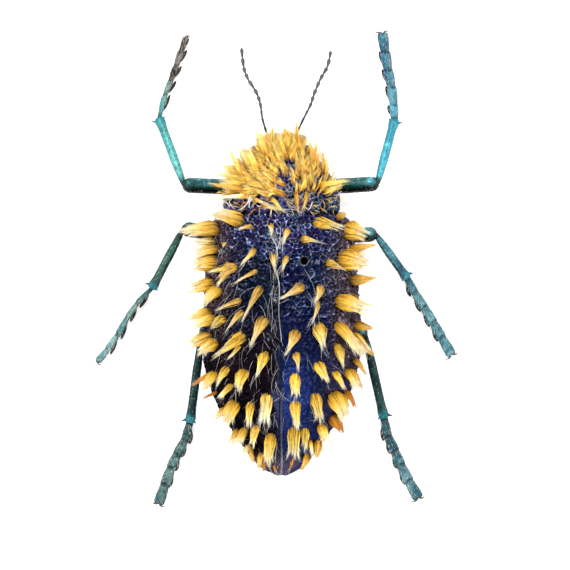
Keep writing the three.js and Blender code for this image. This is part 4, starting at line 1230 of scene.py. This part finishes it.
def core(root, tip, outward, width, gather, tint, shape):
    """The dark heart of a lock, under its hairs: painted shade between them."""
    crest = root + 0.3 * (tip - root) + outward * (0.04 + 0.08 * width)
    path = bend((root - 0.1 * outward)[None], crest[None], (root + 0.6 * (tip - root))[None], 6)[0]
    half = np.linspace(0.3, 0.2 * max(gather, 0.12), len(path)) * width
    # The heart's tint, 0.4 of the lock's dull tint, is painted shade.
    shape.tube(rings_along(path, half, 0.4 * half, outward, 8), 0.4 * tint)


def wisps(dome, tip, ahead, beside, width, over, shape):
    """The few fine hairs that run on past a lock's tip."""
    count = 4
    swing = random.uniform(-0.5, 0.5, count)
    onward = random.uniform(0.1, 0.4, count) if over else random.uniform(0.4, 1.4, count)
    starts = tip - 0.6 * ahead + beside * (0.25 * width * random.standard_normal(count))[:, None]
    ends = tip + onward[:, None] * (ahead + beside * swing[:, None])
    if not over:
        dome.settle(ends, 0.97, 0.12)
    mids = 0.5 * (starts + ends) + np.array([0, 0, 0.15]) + 0.06 * random.standard_normal((count, 3))
    strands(bend(starts, mids, ends, 5), FINE_RADIUS, WISP * random.uniform(0.5, 1, (count, 1, 1)), shape)


ALL_LOCKS = (("left", ELYTRA, LEFT_LOCKS), ("right", ELYTRA, RIGHT_LOCKS), ("neck", PRONOTUM, NECK_LOCKS))
for name, dome, locks in ALL_LOCKS:
    brush = Shape()
    for spec in locks:
        lock(dome, spec, brush)
    brush.build(f"{name}_hair_locks", lock_hair, "hair")


# Single white hairs, pointing back and out over the wing cases

WHITE_COUNT = 120
REAR_WHITE_COUNT = 22
BRISTLE_COUNT = 16


def white_hairs():
    shape = Shape()
    y = random.uniform(ELYTRA_TIP + 1.2, ELYTRA_FRONT - 1, WHITE_COUNT)
    x = random.uniform(-0.92, 0.8, WHITE_COUNT) * ELYTRA.half_width(y)
    extra_y = random.uniform(-11, 1, REAR_WHITE_COUNT)
    extra_x = random.uniform(-4, 0, REAR_WHITE_COUNT)
    x, y = np.append(x, extra_x), np.append(y, extra_y)
    kept = (x < 0) | (random.random(len(x)) < 0.35)
    kept &= (np.abs(x - PIN_HOLE[0]) > 1) | (np.abs(y - PIN_HOLE[1] - 1.8) > 2.4)
    x, y = x[kept], y[kept]
    count = len(x)
    roots = np.column_stack([x, y, ELYTRA.height(x, y)])
    outward = ELYTRA.normal(x, y)
    length = random.uniform(0.6, 3.6, count)[:, None]
    sway = 0.14 * x + 0.5 * random.standard_normal(count)
    heading = np.column_stack([sway, -np.ones(count), np.zeros(count)])
    heading = unit(heading - outward * (heading * outward).sum(1, keepdims=True))
    aside = np.cross(heading, outward) * random.uniform(-0.3, 0.3, count)[:, None] * length
    tips = roots + heading * length
    ELYTRA.settle(tips, 0.95, random.uniform(0.03, 0.3, count))
    lift = outward * random.uniform(0.2, 0.5, count)[:, None]
    seconds, thirds = (roots + heading * length * share + aside + lift for share in (0.3, 0.7))
    paths = sweep(roots, seconds, thirds, tips, 7)
    strands(paths, random.uniform(*WHITE_RADII, count), WISP * random.uniform(0.3, 1, (count, 1, 1)), shape)
    return shape


# Long white strands, each as the number of hairs in it and its course over the back, seen from above

SUTURE_STRANDS = (
    (4, ((-1.13, 8.6), (-0.8, 7.9), (-0.46, 7.2), (-0.46, 6.2), (-0.5, 5.1))),
    (4, ((0.1, 8.25), (-0.2, 7.6), (-0.42, 7.05), (-0.44, 6.2), (-0.48, 5.2))),
    (2, ((-0.1, 9.3), (-0.12, 8.3), (-0.3, 7.4), (-0.42, 6.6))),
    (3, (
        (-0.96, 5.9), (-0.7, 5.1), (-0.45, 4.3), (-0.22, 3.6),
        (-0.21, 2.1), (-0.27, 0.5), (-0.1, -1.5), (-0.04, -2.3),
    )),
    (2, ((0.2, 5.9), (-0.15, 5.3), (-0.4, 4.8), (-0.35, 4.1), (-0.22, 3.4), (-0.2, 2.2))),
    (1, ((-0.73, 3.5), (-1, 2.6), (-1.2, 1.7), (-1.15, 0.6), (-1.05, -1.2))),
    (1, ((-0.85, 3.3), (-0.95, 2), (-0.93, 0.3), (-0.98, -1.4))),
)
SHIELD_STRANDS = (
    (6, ((-4.9, 12.2), (-5.2, 11.7), (-4.9, 11.3), (-4.6, 10.9))),
    (5, ((-5.9, 11.9), (-5.4, 11.6), (-5.1, 11.1))),
    (7, ((-3.1, 12.3), (-3.3, 11.7), (-3.8, 11.2), (-4.3, 10.9))),
    (4, ((-2.9, 12.1), (-3.2, 11.6), (-3.1, 11))),
    (5, ((5.2, 13.2), (5.6, 12.9), (5.7, 12.5), (5.5, 12.1))),
    (4, ((5.9, 12.9), (5.7, 12.6), (5.3, 12.3))),
    (3, ((3.1, 11.7), (2.9, 11.2), (2.6, 10.9))),
)


def long_strands(dome, courses, thickness, shape):
    for count, course in courses:
        path = curve_through(np.array(course), 3 * len(course))
        run = np.linspace(0, 1, len(path))
        for _ in range(count):
            offset = 0.06 * random.standard_normal(2) * (1 - 0.6 * np.sin(np.pi * run[:, None]))
            wave = 0.035 * np.sin(run * random.uniform(6, 16) + random.uniform(0, 6))[:, None]
            flat = (path + offset + wave)[: len(path) - random.integers(0, 3)]
            lift = dome.height(flat[:, 0], flat[:, 1]) + random.uniform(14, 34) * thickness
            hair_path = np.column_stack([flat, lift])[None]
            strands(hair_path, thickness * random.uniform(0.7, 1.3), WISP * random.uniform(0.6, 1), shape)


def suture_bristles(shape, count):
    """Short pale bristles that lie back along the suture."""
    y = random.uniform(-15, -1.5, count)
    x = random.uniform(-0.7, 0.3, count)
    sway = random.uniform(-0.5, 0.5, count)
    length = random.uniform(0.4, 1.5, count)
    roots = np.column_stack([x, y, ELYTRA.height(x, y)])
    tips = np.column_stack([x + sway, y - length, ELYTRA.height(x + sway, y - length) + 0.1])
    mids = 0.5 * (roots + tips) + (0, 0, 0.15)
    strands(bend(roots, mids, tips, 4), BRISTLE_RADIUS, WISP * random.uniform(0.3, 1, (count, 1, 1)), shape)


fluff = white_hairs()
suture_bristles(fluff, BRISTLE_COUNT)
long_strands(ELYTRA, SUTURE_STRANDS, thickness=0.01, shape=fluff)
long_strands(PRONOTUM, SHIELD_STRANDS, thickness=0.024, shape=fluff)
fluff.build("white_hairs", white_hair, "hair")


# Fur of the pronotum: small clumps that fan out from its middle, and single hairs along its rear

FUR_CLUMPS = 460
BROW_CLUMPS = 70
CLUMP_HAIRS = 9
REAR_HAIRS = 80
FAN_CENTRE = (0.9, 12)


def fur():
    shape = Shape()
    y = np.append(random.uniform(12.4, 17.6, FUR_CLUMPS), random.uniform(16.8, 17.65, BROW_CLUMPS))
    brow = smooth(16.2, 17, y)
    x = random.uniform(-0.97, 0.95, len(y)) * PRONOTUM.half_width(y) * (1 - 0.3 * brow)
    bare = (np.abs(x - 0.75) < 0.5) & (y < 15.8)
    x, y, brow = x[~bare], y[~bare], brow[~bare]
    away_x, away_y = x - FAN_CENTRE[0], y - FAN_CENTRE[1]
    heading = np.column_stack([np.where(away_x > 0, 0.12, 1 - 0.5 * brow) * away_x, away_y, 0 * x])
    heading = unit(unit(heading) + 0.3 * random.standard_normal(heading.shape) * LEVEL)
    for i in range(len(x)):
        shade = HAIR_TINTS[EMBER if random.random() < 0.45 else FUR]
        size = random.uniform(0.9, 2) * (1 - 0.35 * brow[i] * smooth(1, 2.4, abs(x[i])))
        clump(x[i], y[i], heading[i], size, random.uniform(0.05, 0.12), CLUMP_HAIRS, shade, shape)
    y = random.uniform(10.9, 12.6, REAR_HAIRS)
    x = random.uniform(-0.97, 0.97, REAR_HAIRS) * PRONOTUM.half_width(y)
    heading = np.column_stack([np.sign(x), -0.4 + 0 * x, 0 * x])
    heading += 0.7 * random.standard_normal((REAR_HAIRS, 3)) * LEVEL
    for i in range(REAR_HAIRS):
        shade = HAIR_TINTS[(RUST, GOLD, CREAM)[i % 3]]
        clump(x[i], y[i], unit(heading[i]), random.uniform(0.6, 1.6), 0.06, 2, shade, shape)
    return shape


def clump(x, y, way, size, girth, hairs, tints, shape):
    """One clump of the fur: hairs that rise, bow one way together and end in a ragged point."""
    root = np.array([x, y, PRONOTUM.height(x, y)])
    out = PRONOTUM.normal(0.97 * x, y)
    beside = np.array([-way[1], way[0], 0.0])
    side, onward = patch(hairs, girth, girth)
    spots = root + beside * side[:, None] + way * onward[:, None]
    PRONOTUM.settle(spots, 0.99)
    tips = root + way * (size * random.uniform(0.55, 1.15, (hairs, 1))) + 0.5 * beside * side[:, None]
    tips += 0.1 * random.standard_normal((hairs, 3))
    along = np.clip(tips[:, 1], 10.8, 17.6)
    room = PRONOTUM.half_width(along)
    skin = PRONOTUM.height(np.clip(tips[:, 0], -room, room), along)
    tips[:, 2] = np.maximum(skin - 1.2 * smooth(17.7, 19.5, tips[:, 1]) + 0.25, root[2] - 0.5 * size)
    bow = beside * (random.uniform(-0.35, 0.35) + 0.04 * random.standard_normal((hairs, 1))) * size
    seconds = spots + out * 0.4 + way * (0.15 * size) + bow
    thirds = spots + 0.65 * (tips - spots) + out * 0.3 + bow
    tone = random.uniform(0.4, 1.3) * random.uniform(0.75, 1.15, hairs)
    paths = sweep(spots - 0.05 * out, seconds, thirds, tips, 5)
    strands(paths, random.uniform(*FUR_RADII, hairs), lock_shades(tints, tone[:, None]), shape)


fur().build("neck_fur", lock_hair, "hair")


# Stage, light and camera

FRAME_WIDTH = 57.0
VIEW_CENTRE = (0.35, 3.5)
CAMERA_HEIGHT = 600.0
SUBJECT_HEIGHT = 4.0
SENSOR = 36.0
LIGHT_SIZE = 0.3
LIGHTS = {
    "key": ((-0.12, 0.3, 0.42), 2.7),
    "fill_right": ((0.4, 0.05, 0.35), 1.55),
    "fill_left": ((-0.42, -0.1, 0.32), 1.55),
    "back": ((0.05, -0.42, 0.3), 1.3),
}


def add_floor():
    mesh = bpy.data.meshes.new("floor")
    mesh.from_pydata([(-2, -2, 0), (2, -2, 0), (2, 2, 0), (-2, 2, 0)], [], [(0, 1, 2, 3)])
    floor = bpy.data.objects.new("floor", mesh)
    bpy.context.collection.objects.link(floor)
    nodes = Nodes("floor_paper")
    colour = nodes.add("ShaderNodeValToRGB")
    colour.color_ramp.elements[0].color = (0.94, 0.94, 0.94, 1)
    colour.color_ramp.elements[1].color = (0.97, 0.97, 0.97, 1)
    nodes.link(nodes.noise(60), colour.inputs["Fac"])
    nodes.link(colour.outputs["Color"], nodes.shader.inputs["Base Color"])
    nodes.set(Roughness=0.9, Specular_IOR_Level=0.1, Emission_Color=(1, 1, 1, 1), Emission_Strength=0.34)
    mesh.materials.append(nodes.material)


def add_light(name, place, watts):
    light = bpy.data.lights.new(name, "AREA")
    light.energy = watts
    light.size = LIGHT_SIZE
    lamp = bpy.data.objects.new(name, light)
    lamp.location = place
    bpy.context.collection.objects.link(lamp)
    aim = -lamp.location.normalized()
    lamp.rotation_euler = aim.to_track_quat("-Z", "Y").to_euler()


def add_camera():
    camera = bpy.data.cameras.new("camera")
    camera.sensor_width = SENSOR
    camera.lens = SENSOR * (CAMERA_HEIGHT - SUBJECT_HEIGHT) / FRAME_WIDTH
    camera.clip_start = 0.01
    eye = bpy.data.objects.new("camera", camera)
    eye.location = (VIEW_CENTRE[0] * MM, VIEW_CENTRE[1] * MM, CAMERA_HEIGHT * MM)
    bpy.context.collection.objects.link(eye)
    bpy.context.scene.camera = eye


add_floor()
for name, (place, watts) in LIGHTS.items():
    add_light(name, place, watts)
add_camera()

world = bpy.data.worlds.new("studio")
world.use_nodes = True
background = world.node_tree.nodes["Background"].inputs
background["Color"].default_value = (1, 1, 1, 1)
background["Strength"].default_value = 0.62
bpy.context.scene.world = world
bpy.context.scene.view_settings.view_transform = "Standard"
